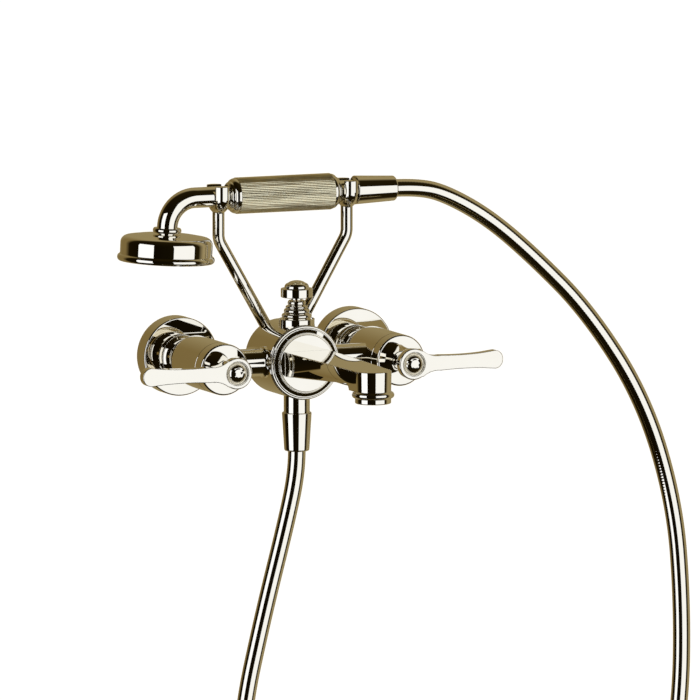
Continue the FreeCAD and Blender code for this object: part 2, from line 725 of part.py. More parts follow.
def make_aerator_insert():
    """Plastic jet plate with a ring of small holes."""
    base = at(0, SPOUT_DROP_DEPTH, 0)
    insert = rod(AERATOR_BORE_R - LOOSE_FIT, NOZZLE_BOTTOM + 1.3, -5.0, base, UP)
    holes = [rod(0.9, -20, 0, base + FreeCAD.Vector(reach * math.cos(a), reach * math.sin(a), 0), UP)
             for reach, count in ((3.4, 6), (6.6, 12))
             for a in [2 * math.pi * k / count for k in range(count)]]
    return insert.cut(Part.makeCompound(holes))


# ---------------------------------------------------------------- diverter
def make_diverter_bonnet():
    """Screwed bonnet on top of the drum: a collar and four rings that step inwards."""
    cavity_r = 5.4
    return turned([
        (STEM_R + RUNNING_FIT, 22.0),
        (BONNET_SPIGOT_R, 22.0),
        (BONNET_SPIGOT_R, COLLAR_FOOT),
        (BONNET_R, COLLAR_FOOT),
        (BONNET_R, 32.5),
        (BONNET_R - 0.2, 33.1, BONNET_R - 0.8, 33.3),
        (10.9, 33.3),
        (10.9, 33.6),
        (11.9, 35.5, 10.9, 37.2),
        (9.5, 37.4),
        (10.2, 39.2, 9.5, 40.9),
        (8.2, 41.1),
        (8.8, 42.3, 8.2, 43.4),
        (6.6, 43.8),
        (7.2, 45.7, 6.2, 47.7),
        (STEM_R + RUNNING_FIT, 47.7),
        (STEM_R + RUNNING_FIT, SPRING_TOP),
        (cavity_r, SPRING_TOP),
        (cavity_r, 26.0),
        (STEM_R + RUNNING_FIT, 26.0),
    ], DIVERTER_BASE, UP).cut(drum_outside())


def drum_outside():
    """The drum's solid cylinder below the bonnet's collar, opened for the bonnet's threaded spigot."""
    drum = rod(DRUM_R + RUNNING_FIT, DRUM_BACK - 5, DRUM_FRONT + 5)
    return drum.cut(rod(BONNET_SPIGOT_R, 0, 60, DIVERTER_BASE, UP))


def make_diverter_stem():
    return turned([
        (0, PLUNGER_BOTTOM + 0.8),
        (STEM_R, PLUNGER_BOTTOM + 0.8),
        (STEM_R, STEM_COLLAR_TOP - 1.5),
        (4.7, STEM_COLLAR_TOP - 1.5),
        (4.7, STEM_COLLAR_TOP),
        (STEM_R, STEM_COLLAR_TOP),
        (STEM_R, 56.0),
        (0, 56.0),
    ], DIVERTER_BASE, UP)


def make_diverter_spring():
    """Compression spring that pushes the stem back down."""
    wire_r = 0.45
    coil_r = 4.1
    turns = 4
    bottom = STEM_COLLAR_TOP + wire_r
    height = SPRING_TOP - wire_r - bottom
    helix = Part.makeHelix(height / turns, height, coil_r)
    section = Part.Wire(Part.makeCircle(wire_r, FreeCAD.Vector(coil_r, 0, 0), FreeCAD.Vector(0, 1, 0)))
    coil = Part.Wire(helix).makePipeShell([section], True, True)
    coil.translate(DIVERTER_BASE + FreeCAD.Vector(0, 0, bottom))
    return coil


def make_diverter_plunger():
    """Valve washer at the foot of the stem; it closes the shower outlet when down."""
    return turned([
        (0, PLUNGER_BOTTOM),
        (7.6, PLUNGER_BOTTOM),
        (8.0, PLUNGER_BOTTOM + 0.4),
        (8.0, PLUNGER_BOTTOM + 4.2),
        (STEM_R + LOOSE_FIT, PLUNGER_BOTTOM + 4.2),
        (STEM_R + LOOSE_FIT, PLUNGER_BOTTOM + 0.7),
        (0, PLUNGER_BOTTOM + 0.7),
    ], DIVERTER_BASE, UP)


def make_diverter_cage():
    """Upper seat round the stem, with a port that leads forward into the spout's tail."""
    seat = PLUNGER_BOTTOM + 4.2 + DIVERTER_TRAVEL + 0.2
    top = 12.0
    cage = rod(9.0, seat, top, DIVERTER_BASE, UP)
    nose = rod(7.4, WATERWAY_DEPTH, DRUM_FRONT - 4.6)
    cage = cage.fuse(nose).removeSplitter()
    cage = cage.cut(rod(6.4, seat - 1, top - 2.5, DIVERTER_BASE, UP))
    cage = cage.cut(rod(STEM_R + RUNNING_FIT, 0, top + 1, DIVERTER_BASE, UP))
    return cage.cut(rod(5.6, WATERWAY_DEPTH, DRUM_FRONT))


def make_diverter_knob():
    """Pull knob: short neck, plain disc and a low stepped dome."""
    return turned([
        (STEM_R + 0.02, 48.0),
        (4.6, 48.0),
        (4.6, 49.4),
        (4.9, 49.95, 5.6, 50.1),
        (12.2, 50.1),
        (12.6, 50.5),
        (12.6, 56.7),
        (12.2, 57.1),
        (9.9, 57.1),
        (9.7, 57.5),
        (9.3, 59.6, 7.9, 61.0),
        (7.5, 61.2),
        (7.1, 61.3),
        (4.0, 62.9, 0.5, 63.3),
        (0, 63.3),
        (0, 56.02),
        (STEM_R + 0.02, 56.02),
    ], DIVERTER_BASE, UP)


# ---------------------------------------------------------------- shower outlet and hose
def make_shower_outlet():
    """Nipple under the drum, with the plunger's lower seat on top."""
    outlet = turned([
        (6.0, -(PLUNGER_BOTTOM - 0.3)),
        (OUTLET_R - 1.0, -(PLUNGER_BOTTOM - 0.3)),
        (OUTLET_R - 1.0, DRUM_R - 2.2),
        (OUTLET_R, DRUM_R - 2.2),
        (OUTLET_R, -OUTLET_SHOULDER),
        (HOSE_THREAD_R, -OUTLET_SHOULDER),
        (HOSE_THREAD_R, -OUTLET_SHOULDER + 9),
        (6.0, -OUTLET_SHOULDER + 9),
    ], DIVERTER_BASE, DOWN)
    drum = rod(DRUM_R + RUNNING_FIT, DRUM_BACK - 5, DRUM_FRONT + 5)
    return outlet.cut(drum.cut(rod(OUTLET_R - 1.0, 0, 60, DIVERTER_BASE, DOWN)))


def hose_nut(mouth_r, end_r, length, base, direction):
    """Conical hose nut. Height 0 is its wide mouth."""
    return turned([
        (HOSE_THREAD_R + RUNNING_FIT, 0),
        (mouth_r - 0.5, 0),
        (mouth_r, 0.5),
        (end_r + 0.05, length - 1.6),
        (end_r - 0.4, length - 0.4, end_r - 1.5, length),
        (HOSE_R + LOOSE_FIT, length),
        (HOSE_R + LOOSE_FIT, 15.0),
        (HOSE_THREAD_R + RUNNING_FIT, 15.0),
    ], base, direction)


def hose_ferrule(length, base, direction):
    """Crimped hose end: a collar that the nut pulls on and a sleeve down to the hose."""
    return turned([
        (4.2, 11.1),
        (9.6, 11.1),
        (9.6, 14.9),
        (HOSE_R, 14.9),
        (HOSE_R, length),
        (4.2, length),
    ], base, direction)


def make_lower_hose_nut():
    base = at(0, WATERWAY_DEPTH, OUTLET_SHOULDER)
    return hose_nut(11.7, 9.9, OUTLET_SHOULDER - LOWER_NUT_BOTTOM, base, DOWN)


def make_lower_hose_ferrule():
    base = at(0, WATERWAY_DEPTH, OUTLET_SHOULDER)
    return hose_ferrule(OUTLET_SHOULDER - LOWER_NUT_BOTTOM, base, DOWN)


def make_lower_hose_washer():
    return ring(5.0, 9.6, 9.0, 11.0, at(0, WATERWAY_DEPTH, OUTLET_SHOULDER), DOWN)


def handset_axis(x):
    return at(x, CRADLE_DEPTH, HANDSET_Z)


def make_upper_hose_nut():
    return hose_nut(11.4, 9.9, UPPER_NUT_END - UPPER_NUT_START, handset_axis(UPPER_NUT_START), RIGHT)


def make_upper_hose_ferrule():
    return hose_ferrule(UPPER_NUT_END - UPPER_NUT_START, handset_axis(UPPER_NUT_START), RIGHT)


def make_upper_hose_washer():
    return ring(5.0, 9.6, 9.0, 11.0, handset_axis(UPPER_NUT_START), RIGHT)


def make_shower_hose():
    path, radii = rounded_route(HOSE_ROUTE)
    first = FreeCAD.Vector(*HOSE_ROUTE[0])
    second = FreeCAD.Vector(*HOSE_ROUTE[1])
    hose = swept_tube(path, HOSE_R, first, second - first)
    length = sum(edge.Length for edge in path.Edges)
    print("hose length %.0f, smallest bend radius %.0f" % (length, min(radii)))
    print("hose bend radii", [round(r) for r in radii])
    print("hose volume / (section x length) %.4f" % (hose.Volume / (math.pi * HOSE_R ** 2 * length)))
    return hose


# ---------------------------------------------------------------- cradle
def make_saddle(side):
    """U-shaped hook of half-round bar that carries the hand shower."""
    centre = at(side * CRADLE_X, CRADLE_DEPTH, HANDSET_Z)
    half = SADDLE_WIDTH / 2
    edge_r = SADDLE_INNER_R + 1.3
    face = outline([
        (-half, SADDLE_INNER_R),
        (half, SADDLE_INNER_R),
        (half, edge_r),
        (0, SADDLE_OUTER_R, -half, edge_r),
    ])
    face.rotate(FreeCAD.Vector(), RIGHT, 90)
    front_prong = face.extrude(FreeCAD.Vector(0, 0, SADDLE_PRONG_TOP - HANDSET_Z))
    bowl = face.revolve(FreeCAD.Vector(), RIGHT, 180)
    back_face = face.copy()
    back_face.rotate(FreeCAD.Vector(), UP, 180)
    back_prong = back_face.extrude(FreeCAD.Vector(0, 0, SADDLE_PRONG_TOP - HANDSET_Z))
    saddle = front_prong.fuse([bowl, back_prong]).removeSplitter()
    saddle.translate(centre)
    return saddle


def make_cradle_arm(side):
    """Bent rod from the drum's rear edge out and up to the saddle."""
    lean = math.radians(CRADLE_ANGLE)
    bend_z = CRADLE_X / math.tan(lean)
    reach = CRADLE_BEND_R * math.tan(lean / 2)
    low_r = DRUM_R - 3.0
    low = at(side * low_r * math.sin(lean), CRADLE_DEPTH, low_r * math.cos(lean))
    corner = at(side * CRADLE_X, CRADLE_DEPTH, bend_z)
    top = at(side * CRADLE_X, CRADLE_DEPTH, HANDSET_Z - SADDLE_INNER_R - 2)
    slope = (corner - low).normalize()
    arc_start = corner - slope * reach
    arc_end = corner + UP * reach
    inward = (UP - slope).normalize()
    middle = corner + inward * (CRADLE_BEND_R / math.cos(lean / 2) - CRADLE_BEND_R)
    path = Part.Wire([
        Part.LineSegment(low, arc_start).toShape(),
        Part.Arc(arc_start, middle, arc_end).toShape(),
        Part.LineSegment(arc_end, top).toShape(),
    ])
    arm = swept_tube(path, CRADLE_ROD_R, low, slope)
    arm = arm.cut(rod(DRUM_R, DRUM_BACK - 5, DRUM_FRONT + 5))
    handset_room = rod(SADDLE_INNER_R + 1, -20, 20, at(side * CRADLE_X, CRADLE_DEPTH, HANDSET_Z), RIGHT)
    return arm.cut(make_saddle(side)).cut(handset_room)


# ---------------------------------------------------------------- hand shower
def elbow_path(start_x):
    """Straight through the left saddle, round the elbow and down to the head."""
    turn_start = handset_axis(ELBOW_X)
    return Part.Wire([
        Part.LineSegment(handset_axis(start_x), turn_start).toShape(),
        Part.Arc(turn_start, elbow_point(ELBOW_TURN / 2), ELBOW_END).toShape(),
        Part.LineSegment(ELBOW_END, ELBOW_END + HEAD_AXIS * 0.6).toShape(),
    ])


def make_handset_arm():
    start_x = -GRIP_CAP_END + 4
    path = elbow_path(start_x)
    outer = swept_tube(path, HANDSET_TUBE_R, handset_axis(start_x), LEFT)
    inner = swept_tube(path, HANDSET_BORE_R, handset_axis(start_x), LEFT)
    return outer.cut(inner)


def make_head_collar():
    """Rolled ring and threaded neck between the arm and the head."""
    return turned([
        (HANDSET_BORE_R, 0.6),
        (10.4, 0.6),
        (11.3, 2.6, 10.4, 4.6),
        (NECK_R, 4.8),
        (NECK_R, NECK_END + 3.5),
        (HANDSET_BORE_R, NECK_END + 3.5),
    ], ELBOW_END, HEAD_AXIS)


def make_shower_head_shell():
    """Cup with a low dome, a straight band and a rolled bead at its mouth."""
    shoulder = 9.3
    bead_top = 22.2
    bead_bottom = 27.2
    hole_r = NECK_R + RUNNING_FIT
    return turned([
        (hole_r, NECK_END - 0.6),
        (8.6, NECK_END - 0.6),
        (21.0, NECK_END - 0.1, HEAD_R - 5.0, shoulder - 1.9),
        (HEAD_R - 1.3, shoulder + 0.1, HEAD_R, shoulder + 3.6),
        (HEAD_R, bead_top - 0.8),
        (HEAD_R + 0.2, bead_top - 0.2, HEAD_R + 0.8, bead_top),
        (HEAD_BEAD_R, (bead_top + bead_bottom) / 2, HEAD_R + 0.8, bead_bottom),
        (HEAD_R - HEAD_WALL, bead_bottom),
        (HEAD_R - HEAD_WALL, shoulder + 4.0),
        (22.0, NECK_END + 2.6, hole_r, NECK_END + 1.6),
    ], ELBOW_END, HEAD_AXIS)


def nozzle_places():
    places = []
    for reach, count in NOZZLE_RINGS:
        places += [(reach, 2 * math.pi * k / count) for k in range(count)]
    return places


def nozzle_shapes(radius, low, high):
    """One short rod at each spray hole, in the head's own frame."""
    shapes = []
    for reach, angle in nozzle_places():
        spot = FreeCAD.Vector(reach * math.cos(angle), reach * math.sin(angle), low)
        shapes.append(Part.makeCylinder(radius, high - low, spot))
    return placed(Part.makeCompound(shapes), ELBOW_END, HEAD_AXIS)


def make_spray_plate():
    plate = turned([
        (0, PLATE_BACK),
        (HEAD_R - HEAD_WALL - LOOSE_FIT, PLATE_BACK),
        (HEAD_R - HEAD_WALL - LOOSE_FIT, PLATE_FRONT),
        (0, PLATE_FRONT),
    ], ELBOW_END, HEAD_AXIS)
    return plate.cut(nozzle_shapes(1.5, PLATE_BACK - 1, PLATE_FRONT + 1))


def make_spray_nozzles():
    nozzles = nozzle_shapes(1.5, PLATE_BACK, PLATE_FRONT + 0.8)
    return nozzles.cut(nozzle_shapes(0.5, PLATE_BACK - 1, PLATE_FRONT + 2))


def make_handset_inner_tube():
    """Waterway through the grip, ending in the male thread for the hose nut."""
    base = handset_axis(0)
    start = -GRIP_CAP_END + 4
    shoulder = UPPER_NUT_START - 0.4
    return turned([
        (HANDSET_BORE_R, start),
        (HANDSET_TUBE_R, start),
        (HANDSET_TUBE_R, shoulder),
        (HOSE_THREAD_R, shoulder + 0.4),
        (HOSE_THREAD_R, UPPER_NUT_START + 9),
        (HANDSET_BORE_R, UPPER_NUT_START + 9),
    ], base, RIGHT)


def make_grip_sleeve():
    """Reeded grip: half-round flutes all the way round."""
    valley_r = GRIP_R - 0.55
    step = 2 * math.pi / GRIP_FLUTES
    points = []
    for k in range(GRIP_FLUTES):
        crest = (k + 0.5) * step
        end = (k + 1) * step
        points.append((GRIP_R * math.cos(crest), GRIP_R * math.sin(crest),
                       valley_r * math.cos(end), valley_r * math.sin(end)))
    sleeve = outline(points).extrude(FreeCAD.Vector(0, 2 * GRIP_HALF, 0))
    sleeve.translate(FreeCAD.Vector(0, -GRIP_HALF, 0))
    sleeve.rotate(FreeCAD.Vector(), UP, 90)
    sleeve.translate(handset_axis(0))
    return sleeve.cut(rod(HANDSET_TUBE_R + LOOSE_FIT, -GRIP_HALF, GRIP_HALF, handset_axis(0), RIGHT))


def grip_cap(direction):
    """Quarter-round end of the grip with two steps, down to the tube."""
    return turned([
        (HANDSET_TUBE_R + LOOSE_FIT, GRIP_HALF),
        (13.9, GRIP_HALF),
        (13.9, GRIP_HALF + 0.8),
        (13.3, GRIP_HALF + 3.0, 11.9, GRIP_HALF + 4.4),
        (11.5, GRIP_HALF + 4.4),
        (11.0, GRIP_HALF + 6.0, 10.1, GRIP_HALF + 6.8),
        (9.7, GRIP_HALF + 6.8),
        (9.2, GRIP_CAP_END),
        (HANDSET_TUBE_R + LOOSE_FIT, GRIP_CAP_END),
    ], handset_axis(0), direction)


def make_grip_front_cap():
    return grip_cap(LEFT)


def make_grip_rear_cap():
    return grip_cap(RIGHT)


# ---------------------------------------------------------------- all nodes
PER_SIDE = {
    "escutcheon": make_escutcheon,
    "inlet_union": make_inlet_union,
    "union_nut": make_union_nut,
    "valve_body": make_valve_body,
    "valve_bezel": make_valve_bezel,
    "cartridge_body": make_cartridge_body,
    "moving_disc": make_moving_disc,
    "spindle": make_spindle,
    "lever": make_lever,
    "lever_screw": make_lever_screw,
    "lever_cap": make_lever_cap,
    "cross_tube": make_cross_tube,
    "cradle_arm": make_cradle_arm,
    "saddle": make_saddle,
}

SINGLE = {
    "union_washers": make_union_washers,
    "cartridge_seals": make_cartridge_seals,
    "fixed_discs": make_fixed_discs,
    "drum_body": make_drum_body,
    "drum_front_cap": make_drum_front_cap,
    "drum_seal": make_drum_seal,
    "spout": make_spout,
    "aerator_housing": make_aerator_housing,
    "aerator_insert": make_aerator_insert,
    "diverter_bonnet": make_diverter_bonnet,
    "diverter_stem": make_diverter_stem,
    "diverter_knob": make_diverter_knob,
    "diverter_plunger": make_diverter_plunger,
    "diverter_spring": make_diverter_spring,
    "diverter_cage": make_diverter_cage,
    "shower_outlet": make_shower_outlet,
    "lower_hose_nut": make_lower_hose_nut,
    "lower_hose_washer": make_lower_hose_washer,
    "lower_hose_ferrule": make_lower_hose_ferrule,
    "upper_hose_nut": make_upper_hose_nut,
    "upper_hose_washer": make_upper_hose_washer,
    "upper_hose_ferrule": make_upper_hose_ferrule,
    "shower_hose": make_shower_hose,
    "handset_arm": make_handset_arm,
    "handset_inner_tube": make_handset_inner_tube,
    "grip_sleeve": make_grip_sleeve,
    "grip_front_cap": make_grip_front_cap,
    "grip_rear_cap": make_grip_rear_cap,
    "head_collar": make_head_collar,
    "shower_head_shell": make_shower_head_shell,
    "spray_plate": make_spray_plate,
    "spray_nozzles": make_spray_nozzles,
}


def main():
    os.makedirs("parts", exist_ok=True)
    nodes = {}
    for side_name, side in SIDES.items():
        for name, make in PER_SIDE.items():
            nodes[side_name + "_" + name] = make(side)
    for name, make in SINGLE.items():
        nodes[name] = make()
    for name, shape in nodes.items():
        shape.exportStep("parts/" + name + ".step")
        facts = (name, len(shape.Solids), shape.Volume, shape.isValid())
        print("%-24s solids %d  volume %9.0f  valid %s" % facts)
    print(len(nodes), "nodes")


main()
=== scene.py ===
"""Looks of the wall mounted bath faucet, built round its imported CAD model.

Metres, in the CAD frame: the origin is on the wall midway between the inlets,
+X points right, +Y into the wall and +Z up.
"""

import math

import bmesh
import bpy
import numpy as np
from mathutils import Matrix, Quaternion, Vector, noise

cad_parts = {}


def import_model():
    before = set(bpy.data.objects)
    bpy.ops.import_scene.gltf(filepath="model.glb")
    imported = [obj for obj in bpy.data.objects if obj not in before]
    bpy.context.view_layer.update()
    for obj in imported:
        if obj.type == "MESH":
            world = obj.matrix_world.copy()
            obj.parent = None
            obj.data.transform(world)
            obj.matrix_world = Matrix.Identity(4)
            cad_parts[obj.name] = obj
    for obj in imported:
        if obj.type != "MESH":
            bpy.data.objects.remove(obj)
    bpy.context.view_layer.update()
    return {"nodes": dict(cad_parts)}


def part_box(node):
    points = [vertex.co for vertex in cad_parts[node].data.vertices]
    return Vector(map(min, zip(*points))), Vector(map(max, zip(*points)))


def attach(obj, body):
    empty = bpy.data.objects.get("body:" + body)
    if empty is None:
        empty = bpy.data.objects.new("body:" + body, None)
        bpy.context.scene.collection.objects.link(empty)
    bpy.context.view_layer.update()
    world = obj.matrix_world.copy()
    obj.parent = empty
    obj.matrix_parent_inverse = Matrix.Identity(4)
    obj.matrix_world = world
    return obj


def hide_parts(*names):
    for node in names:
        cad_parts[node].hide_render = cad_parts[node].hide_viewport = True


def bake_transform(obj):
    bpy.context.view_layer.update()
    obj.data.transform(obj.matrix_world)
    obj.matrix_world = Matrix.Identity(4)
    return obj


MM = 0.001

# ---------------------------------------------------------------- driving values
CAMERA_AZIMUTH = math.radians(-23.0)
CAMERA_ELEVATION = math.radians(7.2)
CAMERA_DISTANCE = 12.0
CAMERA_LENS = 780.5
CAMERA_SENSOR = 36.0
CAMERA_NEAR = 0.1
CAMERA_FAR = 200.0
CAMERA_AIM_RIGHT = 70.2 * MM    # from the origin to the picture's centre
CAMERA_AIM_UP = -0.3 * MM

FLOOR_Z = -0.62
FLOOR_HALF = 40.0
FLOOR_GREY = 0.9
FLOOR_ROUGHNESS = 0.9
FLOOR_GLOW = 0.98               # keeps the floor as pale as the background

# Softboxes: name, degrees round from the camera, width, power and colour.
SOFTBOXES = [
    ("softbox_right", 46, 2.42, 19.4, (0.96, 0.975, 1.0)),
    ("softbox_left", -53, 1.62, 15.1, (0.93, 0.95, 1.0)),
]
SOFTBOX_ELEVATION = 1           # degrees
SOFTBOX_HEIGHT = 2.4
SOFTBOX_DISTANCE = 2.2
SOFTBOX_CENTRE = Vector((0, -0.08, 0))

# World colours, each ramp from 0, straight away from its direction, to 1, straight along it.
DEPTH_TURN = math.radians(-8)   # from the camera's azimuth
DEPTH_STOPS = [                 # from behind the object to the camera's side
    (0.0, (0.300, 0.236, 0.112, 1)),
    (0.29, (0.345, 0.276, 0.140, 1)),
    (0.43, (0.016, 0.010, 0.002, 1)),
    (1.0, (0.006, 0.004, 0.001, 1)),
]
BREADTH_TURN = math.radians(90)
BREADTH_STOPS = [               # from the left to the right of the picture
    (0.0, (0.60, 0.53, 0.39, 1)),
    (0.22, (0.66, 0.59, 0.44, 1)),
    (0.46, (1.0, 1.0, 1.0, 1)),
    (1.0, (1.0, 1.0, 1.0, 1)),
]

OUT = Vector((0, -1, 0))
UP = Vector((0, 0, 1))
DOWN = Vector((0, 0, -1))
RIGHT = Vector((1, 0, 0))
LEFT = Vector((-1, 0, 0))
SIDES = {"left": LEFT, "right": RIGHT}

# Mesh fineness.
SIDES_SMALL = 128               # faces round a small turned part
SIDES_LARGE = 224
ARC_STEP = math.radians(9)      # largest turn between two points of an arc
EDGE_ROUND = 0.05               # millimetres taken off each sharp edge
EDGE_STEPS = 3
SHARP_TURN = math.radians(28)
LARGEST_SHARE = 0.4             # of a run, that rounding or support may take from one end
LONG_RUN = 0.9                  # millimetres; a longer run gets a support point near each end
SUPPORT = 0.06                  # millimetres from a run's end to its support point
BEND_STEPS = 36                 # steps round a bend or a saddle's bowl
END_RING = 0.02                 # share of a straight stretch between its end and the ring beside it
ON_AXIS = 1e-6                  # a smaller radius is on the axis
MERGE_DISTANCE = 1e-8           # metres

# Sizes in millimetres, as in the CAD model.
CROSS_TUBE_R = 11.0
CROSS_TUBE_BORE_R = 8.2
FLARE_R = 12.6
FLARE_START = 29.4
TUBE_BORE_R = 6.0
HANDSET_TUBE_R = 8.1
HOSE_THREAD_R = 9.95
THREAD_LENGTH = 9.0
THREAD_SLOPE = 0.4              # length of the slope from the tube up to its thread
LOWER_NUT_MOUTH_R = 11.7
UPPER_NUT_MOUTH_R = 11.4
NUT_END_R = 9.9
ELBOW_X = -75.0
ELBOW_R = 23.2
ELBOW_TURN = 87.2               # degrees
HEAD_SOCKET = 0.6               # the arm's tube goes this far past the elbow's end
CRADLE_LEAN = 30.0              # degrees from upright
CRADLE_BEND_R = 16.0
CRADLE_ROD_R = 4.75
ROD_START_R = 29.3
ROD_END_GAP = 1.5               # below the saddle's inner face
SADDLE_WIDTH = 12.0
SADDLE_INNER_R = 8.35
SADDLE_EDGE = 1.3               # flat edge beside the inner face
SADDLE_OUTER_R = 14.0
PRONG_ROUND = 0.35
GRIP_R = 14.4
GRIP_BORE_R = 8.2
GRIP_FLUTES = 60
FLUTE_STEPS = 8
FLUTE_DEPTH = 0.32
FLUTE_WANDER = 0.12             # radians of one flute's wave
FLUTE_WANDER_SCALE = 0.008      # noise units per millimetre along the grip
FLUTE_WANDER_TURN = 3           # noise units from the axis to the ring that the noise is read on
FLUTE_UNEVEN = 0.5              # largest share by which a flute's depth varies
FLUTE_UNEVEN_RATE = 4           # times as fine as the wander
GRIP_RINGS = 48

# Materials.
CAST_NODES = ("left_lever", "right_lever", "spout")
CAST_EDGE_R = 1.1 * MM
EDGE_SAMPLES = 8
CLOUD_DETAIL = 3.0
GRAIN_DETAIL = 2.0
GRAIN_RATE = 12                 # grain is this many times finer than the cloud
VARY_SPAN = (0.3, 0.7)          # noise values that reach the two ends of a number
TINT_SPAN = (0.35, 0.65)        # and of a colour

HOSE_R = 7.0 * MM
HOSE_PITCH = 2.4 * MM
HOSE_RIDGE = 0.012 * MM
HOSE_SIDES = 28
HOSE_STEPS_PER_TURN = 5
HOSE_LINE_FINENESS = 48         # points between two control points

# Control points of the hose, from the nut under the drum to the nut on the hand shower.
HOSE_ROUTE = [
    (0.0, -0.0725, -0.0716),
    (0.0, -0.0725, -0.0885),
    (-0.009, -0.0725, -0.128),
    (-0.0285, -0.0725, -0.2),
    (-0.047, -0.072, -0.28),
    (-0.05, -0.071, -0.366),
    (-0.03, -0.07, -0.448),
    (0.026, -0.069, -0.526),
    (0.112, -0.068, -0.565),
    (0.204, -0.067, -0.557),
    (0.278, -0.066, -0.486),
    (0.318, -0.065, -0.392),
    (0.3355, -0.0645, -0.296),
    (0.3375, -0.0625, -0.212),
    (0.3325, -0.058, -0.132),
    (0.3075, -0.053, -0.048),
    (0.2605, -0.049, 0.024),
    (0.212, -0.046, 0.072),
    (0.176, -0.045, 0.102),
    (0.142, -0.044, 0.1215),
    (0.1175, -0.044, 0.129),
    (0.0955, -0.044, 0.129),
]


# ---------------------------------------------------------------- camera and studio
def look_direction(azimuth, elevation):
    """Unit vector from the object towards something at that azimuth and elevation."""
    flat = math.cos(elevation)
    return Vector((math.sin(azimuth) * flat, -math.cos(azimuth) * flat, math.sin(elevation)))


def add_camera():
    back = look_direction(CAMERA_AZIMUTH, CAMERA_ELEVATION)
    right = Vector((math.cos(CAMERA_AZIMUTH), math.sin(CAMERA_AZIMUTH), 0))
    up = back.cross(right)
    aim = right * CAMERA_AIM_RIGHT + up * CAMERA_AIM_UP
    data = bpy.data.cameras.new("camera")
    data.lens = CAMERA_LENS
    data.sensor_width = CAMERA_SENSOR
    data.clip_start = CAMERA_NEAR
    data.clip_end = CAMERA_FAR
    camera = bpy.data.objects.new("camera", data)
    camera.location = aim + back * CAMERA_DISTANCE
    camera.rotation_mode = "QUATERNION"
    camera.rotation_quaternion = back.to_track_quat("Z", "Y")
    bpy.context.scene.collection.objects.link(camera)
    bpy.context.scene.camera = camera


def add_softbox(name, azimuth, width, power, colour):
    """Rectangular light, hidden from the camera. The azimuth is in degrees."""
    direction = look_direction(math.radians(azimuth), math.radians(SOFTBOX_ELEVATION))
    data = bpy.data.lights.new(name, "AREA")
    data.shape = "RECTANGLE"
    data.size = width
    data.size_y = SOFTBOX_HEIGHT
    data.energy = power
    data.color = colour
    light = bpy.data.objects.new(name, data)
    light.location = direction * SOFTBOX_DISTANCE + SOFTBOX_CENTRE
    light.rotation_mode = "QUATERNION"
    light.rotation_quaternion = direction.to_track_quat("Z", "Y")
    light.visible_camera = False
    bpy.context.scene.collection.objects.link(light)


def add_lights():
    for name, turn, width, power, colour in SOFTBOXES:
        add_softbox(name, math.degrees(CAMERA_AZIMUTH) + turn, width, power, colour)


def add_ramp(nodes, links, direction, stops):
    """Colour by how far a ray of the world points along a direction.

    A stop's place is 0 for straight away from it and 1 for straight along it.
    """
    place = nodes.new("ShaderNodeTexCoord")
    facing = nodes.new("ShaderNodeVectorMath")
    facing.operation = "DOT_PRODUCT"
    facing.inputs[1].default_value = direction
    span = nodes.new("ShaderNodeMapRange")
    span.inputs["From Min"].default_value = -1
    span.inputs["From Max"].default_value = 1
    ramp = nodes.new("ShaderNodeValToRGB")
    ends = ramp.color_ramp.elements
    ends[0].position, ends[0].color = stops[0]
    ends[1].position, ends[1].color = stops[-1]
    for position, colour in stops[1:-1]:
        ends.new(position).color = colour
    links.new(place.outputs["Generated"], facing.inputs[0])
    links.new(facing.outputs["Value"], span.inputs["Value"])
    links.new(span.outputs["Result"], ramp.inputs["Fac"])
    return ramp.outputs["Color"]


def add_world():
    """Dark studio in front of the object, warm olive behind it; plain white to the camera."""
    world = bpy.data.worlds.new("studio")
    bpy.context.scene.world = world
    world.use_nodes = True
    nodes = world.node_tree.nodes
    links = world.node_tree.links
    nodes.clear()
    depth = add_ramp(nodes, links, look_direction(CAMERA_AZIMUTH + DEPTH_TURN, 0), DEPTH_STOPS)
    breadth = add_ramp(nodes, links, look_direction(CAMERA_AZIMUTH + BREADTH_TURN, 0), BREADTH_STOPS)
    shade = nodes.new("ShaderNodeVectorMath")
    shade.operation = "MULTIPLY"
    studio = nodes.new("ShaderNodeBackground")
    paper = nodes.new("ShaderNodeBackground")
    paper.inputs["Color"].default_value = (1, 1, 1, 1)
    paper.inputs["Strength"].default_value = 1.0
    ray = nodes.new("ShaderNodeLightPath")
    mix = nodes.new("ShaderNodeMixShader")
    out = nodes.new("ShaderNodeOutputWorld")
    links.new(depth, shade.inputs[0])
    links.new(breadth, shade.inputs[1])
    links.new(shade.outputs["Vector"], studio.inputs["Color"])
    links.new(ray.outputs["Is Camera Ray"], mix.inputs["Fac"])
    links.new(studio.outputs["Background"], mix.inputs[1])
    links.new(paper.outputs["Background"], mix.inputs[2])
    links.new(mix.outputs["Shader"], out.inputs["Surface"])


def add_floor():
    mesh = bpy.data.meshes.new("floor")
    h = FLOOR_HALF
    corners = [(-h, -h, FLOOR_Z), (h, -h, FLOOR_Z), (h, h, FLOOR_Z), (-h, h, FLOOR_Z)]
    mesh.from_pydata(corners, [], [(0, 1, 2, 3)])
    floor = bpy.data.objects.new("floor", mesh)
    material = bpy.data.materials.new("pale_floor")
    material.use_nodes = True
    shader = material.node_tree.nodes["Principled BSDF"]
    shader.inputs["Base Color"].default_value = (FLOOR_GREY, FLOOR_GREY, FLOOR_GREY, 1)
    shader.inputs["Roughness"].default_value = FLOOR_ROUGHNESS
    shader.inputs["Emission Color"].default_value = (1, 1, 1, 1)
    shader.inputs["Emission Strength"].default_value = FLOOR_GLOW
    mesh.materials.append(material)
    floor.visible_glossy = False
    floor.visible_diffuse = False
    bpy.context.scene.collection.objects.link(floor)


